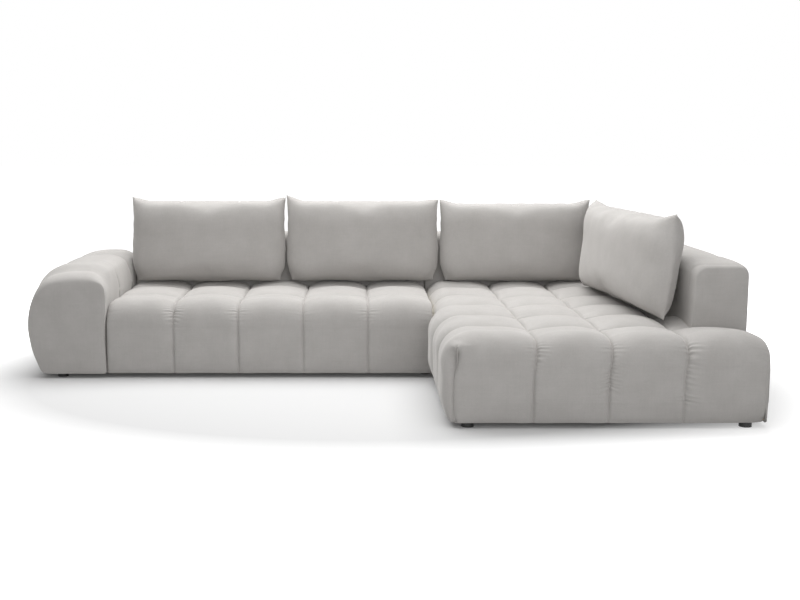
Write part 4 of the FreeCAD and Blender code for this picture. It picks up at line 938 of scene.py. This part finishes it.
def blow_up(piece, flat):
    """Cloth pressed out from inside for a few frames; the result is kept."""
    start = get_points(piece.data)
    piece.shape_key_add(name="Basis")
    cut = piece.shape_key_add(name="cut")
    cut.data.foreach_set("co", np.asarray(flat, np.float32).ravel())
    cut.value = 0
    modifier = piece.modifiers.new("cloth", "CLOTH")
    cloth = modifier.settings
    cloth.quality = 6
    cloth.mass = 0.3
    cloth.tension_stiffness = cloth.compression_stiffness = 30
    cloth.shear_stiffness = 10
    cloth.bending_stiffness = 0.6
    cloth.tension_damping = cloth.compression_damping = 20
    cloth.shear_damping = 10
    cloth.air_damping = 4
    cloth.use_pressure = True
    cloth.uniform_pressure_force = PRESSURE
    cloth.effector_weights.gravity = 0
    cloth.rest_shape_key = cut
    modifier.point_cache.frame_end = CLOTH_FRAMES
    for frame_number in range(1, CLOTH_FRAMES + 1):
        bpy.context.scene.frame_set(frame_number)
    depsgraph = bpy.context.evaluated_depsgraph_get()
    moved = get_points(piece.evaluated_get(depsgraph).data)
    piece.modifiers.clear()
    piece.shape_key_clear()
    bpy.context.scene.frame_set(1)
    step = moved - start
    length = np.linalg.norm(step, axis=1)
    step *= np.minimum(1, CLOTH_REACH / np.maximum(length, 1e-9))[:, None]
    set_points(piece, start + step)


def ease(piece, fixed):
    """Average every point with its neighbours, except the fixed ones."""
    points = get_points(piece.data)
    ends = np.array([edge.vertices[:] for edge in piece.data.edges])
    count = np.bincount(ends.ravel(), minlength=len(points))[:, None]
    free = np.ones(len(points), bool)
    free[fixed] = False
    for _ in range(EASE_PASSES):
        total = np.zeros_like(points)
        np.add.at(total, ends[:, 0], points[ends[:, 1]])
        np.add.at(total, ends[:, 1], points[ends[:, 0]])
        points[free] = 0.5 * points[free] + 0.5 * (total / count)[free]
    set_points(piece, points)


def square_up(points, flat, u, v, height, depth):
    """Fill out the upper half of a pillow and level its top edge between the tips."""
    half = depth / 2
    blunt = 1 - 0.32 * smooth(v, 0.0, 0.6)
    points[:, 1] = np.sign(points[:, 1]) * half * (np.abs(points[:, 1]) / half) ** blunt
    top = np.flatnonzero(flat[:, 2] > flat[:, 2].max() - 1e-6)
    top = top[np.argsort(u[top])]
    line = np.convolve(np.pad(points[top, 2], 2, "edge"), np.ones(5) / 5, "valid")
    corner = smooth(np.abs(u), 0.74, 1.0)
    wanted = height / 2 - TOP_DIP * (1 - corner)
    reach = wanted / np.maximum(np.interp(u, u[top], line), 0.5 * height / 2)
    points[:, 2] *= 1 + (reach - 1) * smooth(v, 0.1, 0.9)


def shape_corners(points, u, v, ears, tucked, taper):
    """Draw in a cushion's lower corners and its near top, and pull out its tips."""
    foot_corner = smooth(-v, 0.45, 1.0) ** 1.5 * smooth(np.abs(u), 0.75, 1.0)
    points[:, 0] -= np.sign(u) * tucked * foot_corner
    points[:, 2] += 0.45 * tucked * foot_corner
    points[:, 0] -= taper * smooth(v, 0.1, 1.0) * smooth(u, 0.3, 1.0)
    points[:, 0] += np.sign(u) * 0.005 * smooth(np.abs(u), 0.6, 1.0) * np.exp(-((v + 0.25) / 0.4) ** 2)
    for side, (out, up) in zip((-1, 1), ears):
        tip = np.exp(-(((u - side) / 0.12) ** 2 + ((v - 1) / 0.20) ** 2))
        points[:, 0] += side * out * tip
        points[:, 2] += up * tip


def pucker(points, rim):
    """Make the sewn edge a little uneven."""
    seam = np.zeros(len(points), bool)
    seam[rim] = True
    points[:, 0] += 0.0016 * ripple(points[:, 2], 91, 0.09) * seam
    points[:, 2] += 0.0014 * ripple(points[:, 0], 93, 0.11) * seam


def lean_back(points, level, lean, wall):
    """Tilt a cushion that stands at a level, and press its back flat where it leans."""
    leaned = points.copy()
    leaned[:, 1] = points[:, 1] * math.cos(lean) + points[:, 2] * math.sin(lean)
    leaned[:, 2] = points[:, 2] * math.cos(lean) - points[:, 1] * math.sin(lean) * 0.6
    high_up = np.clip((leaned[:, 2] - (REAR_HIGH.z - level - 0.03)) / 0.08, 0, 1)
    limit = wall + 0.030 * np.clip(leaned[:, 2] / 0.25, 0, 1) + 0.2 * high_up
    leaned[:, 1] = np.where(leaned[:, 1] > limit, limit + (leaned[:, 1] - limit) * 0.12, leaned[:, 1])
    leaned[:, 2] -= leaned[:, 2].min() - 0.0006
    return leaned


def build_cushion(name, size, foot, turn, lean, wall, ears, tucked=0.026, taper=0.0):
    """Cushion that stands on the seat. foot is its base middle, lean its tilt back,
    wall the distance behind the foot where its back rests, ears its corner tips,
    tucked how far its lower corners are drawn in, taper how far its near top is."""
    width, height, depth = size
    piece, flat, rim = pillow_mesh(name, width * 1.035, height * 1.06, depth * 0.84)
    blow_up(piece, flat)
    ease(piece, rim)
    points = get_points(piece.data)
    low, high = points.min(axis=0), points.max(axis=0)
    middle = (low + high) / 2
    points = (points - middle) * np.array([width, depth, height]) / (high - low)
    u, v = points[:, 0] / (width / 2), points[:, 2] / (height / 2)
    square_up(points, flat, u, v, height, depth)
    shape_corners(points, u, v, ears, tucked, taper)
    points[:, 2] += height / 2
    pucker(points, rim)
    points[:, 2] = np.maximum(points[:, 2], 0.004)
    leaned = lean_back(points, foot[2], lean, wall)
    cos, sin = math.cos(turn), math.sin(turn)
    placed = np.column_stack([foot[0] + leaned[:, 0] * cos - leaned[:, 1] * sin,
                              foot[1] + leaned[:, 0] * sin + leaned[:, 1] * cos, foot[2] + leaned[:, 2]])
    set_points(piece, placed)
    foam_inside(piece, name + "_filling", 0.008, name, "filling", joined=False)
    crease(piece, rim)
    finish_padded(piece, name + "_cover", name, cushion_velvet, joined=False)


def crease(piece, rim):
    """Keep the sewn edge of a cushion sharp when it is subdivided."""
    on_rim = set(int(v) for v in rim)
    layer = piece.data.attributes.new("crease_edge", "FLOAT", "EDGE")
    for edge in piece.data.edges:
        if edge.vertices[0] in on_rim and edge.vertices[1] in on_rim:
            layer.data[edge.index].value = 0.7


def build_cushions():
    """Three cushions against the rear backs and a wide one against the side back."""
    seat_top = SEAT_HIGH.z + 0.0005
    lean, wall, foot = math.radians(7), 0.086, 0.706
    for name, size, middle, ears in (
            ("left_cushion", (0.834, 0.464, 0.190), -0.837, ((0.003, 0.002), (0.003, 0.002))),
            ("middle_cushion", (0.824, 0.462, 0.190), 0.002, ((0.004, 0.012), (0.003, -0.010))),
            ("right_cushion", (0.814, 0.448, 0.190), 0.833, ((0.003, 0.002), (0.005, 0.004)))):
        build_cushion(name, size, (middle, foot, seat_top), 0.0, lean, wall, ears)
    build_cushion("side_cushion", (1.236, 0.458, 0.235), (1.236, -0.042, seat_top),
                  math.radians(-84.8), math.radians(7.5), 0.155, ((0.003, 0.004), (0.003, 0.004)),
                  0.004, 0.050)


# Stage, lights and camera.

def direct_view(tree):
    """1 for the rays that show the background itself: camera, mirror and glass rays."""
    path = new_node(tree, "LightPath")
    total = path.outputs["Is Camera Ray"]
    for kind in ("Is Glossy Ray", "Is Transmission Ray"):
        add = new_node(tree, "Math")
        add.operation = "ADD"
        add.use_clamp = True
        tree.links.new(total, add.inputs[0])
        tree.links.new(path.outputs[kind], add.inputs[1])
        total = add.outputs["Value"]
    return total


def build_stage():
    """White studio floor. It keeps the real shadow round the sofa, and its camera-only glow, weak near the
    sofa and full white farther out, also paints the floor round the sofa darker (painted shade) and leaves
    it white elsewhere.
    """
    mesh = bpy.data.meshes.new("studio_floor")
    reach = 40.0
    mesh.from_pydata([(-reach, -reach, 0), (reach, -reach, 0), (reach, reach, 0), (-reach, reach, 0)], [],
                     [(0, 1, 2, 3)])
    floor = add_object("studio_floor", mesh)
    material = bpy.data.materials.new("studio_white")
    material.use_nodes = True
    tree = material.node_tree
    tree.nodes.clear()
    out = new_node(tree, "OutputMaterial")
    diffuse = new_node(tree, "BsdfDiffuse")
    put(diffuse, "Color", (0.62, 0.62, 0.62, 1))
    # Painted shade: this camera-only glow falls from full white far out to FLOOR_GLOW near the sofa, so
    # the floor round the sofa looks darker than the rest.
    glow = new_node(tree, "Emission")
    place = new_node(tree, "TexCoord")
    shape = new_node(tree, "Mapping")
    put(shape, "Scale", (0.46, 0.62, 1))
    distance = new_node(tree, "VectorMath")
    distance.operation = "LENGTH"
    fade = new_node(tree, "MapRange")
    put(fade, "From Min", 0.74)
    put(fade, "From Max", 1.20)
    put(fade, "To Min", FLOOR_GLOW)
    put(fade, "To Max", 1.0)
    scale = new_node(tree, "Math")
    scale.operation = "MULTIPLY"
    link(tree, place, "Object", shape, "Vector")
    link(tree, shape, "Vector", distance, 0)
    link(tree, distance, "Value", fade, "Value")
    tree.links.new(direct_view(tree), scale.inputs[0])
    link(tree, fade, "Result", scale, 1)
    link(tree, scale, "Value", glow, "Strength")
    both = new_node(tree, "AddShader")
    link(tree, diffuse, "BSDF", both, 0)
    link(tree, glow, "Emission", both, 1)
    link(tree, both, "Shader", out, "Surface")
    mesh.materials.append(material)


def build_world():
    """Soft white surroundings: plain light on the sofa and white behind it."""
    world = bpy.data.worlds.new("studio")
    bpy.context.scene.world = world
    world.use_nodes = True
    tree = world.node_tree
    tree.nodes.clear()
    out = new_node(tree, "OutputWorld")
    lit = new_node(tree, "Background")
    put(lit, "Color", (1, 1, 1, 1))
    put(lit, "Strength", WORLD_LIGHT)
    seen = new_node(tree, "Background")
    put(seen, "Color", (1, 1, 1, 1))
    put(seen, "Strength", 1.0)
    choose = new_node(tree, "MixShader")
    tree.links.new(direct_view(tree), choose.inputs["Fac"])
    link(tree, lit, "Background", choose, 1)
    link(tree, seen, "Background", choose, 2)
    link(tree, choose, "Shader", out, "Surface")


def area_light(name, place, aim, size, power):
    """Rectangular lamp that faces a point; size is its width and height."""
    data = bpy.data.lights.new(name, "AREA")
    data.shape = "RECTANGLE"
    data.size, data.size_y = size
    data.energy = power
    lamp = add_object(name, data)
    lamp.location = place
    lamp.rotation_mode = "QUATERNION"
    lamp.rotation_quaternion = (Vector(aim) - Vector(place)).to_track_quat("-Z", "Y")


def build_lights():
    area_light("top_box", (-0.2, 0.95, 3.3), (0.0, 0.3, 0.3), (5.5, 3.0), 200)
    area_light("front_box", (1.1, -5.2, 1.6), (0.1, 0, 0.4), (4.5, 2.4), 77)
    area_light("chaise_box", (0.9, -1.5, 2.5), (0.9, -1.0, 0.3), (2.4, 1.0), 16)
    area_light("rear_box", (1.0, 4.6, 2.6), (0, 0, 0.4), (4.0, 2.4), 40)


def build_camera():
    """The photograph's viewpoint: in front, 1.18 m up, looking slightly down."""
    data = bpy.data.cameras.new("camera")
    data.sensor_width = 36.0
    data.sensor_fit = "HORIZONTAL"
    focal_pixels, image_width = 1161.6, 800
    data.lens = focal_pixels / image_width * data.sensor_width
    data.shift_x = (image_width / 2 - 353.0) / image_width
    camera = add_object("camera", data)
    camera.location = (-0.0494, -5.6066, 1.1757)
    camera.rotation_euler = (math.pi / 2 - 0.14, 0, 0)
    bpy.context.scene.camera = camera


dress_frame()
chaise_rim = build_seats()
build_chaise_side(chaise_rim)
build_arm()
build_backs()
build_cushions()
build_stage()
build_world()
build_lights()
build_camera()
bpy.context.scene.view_settings.view_transform = "Standard"
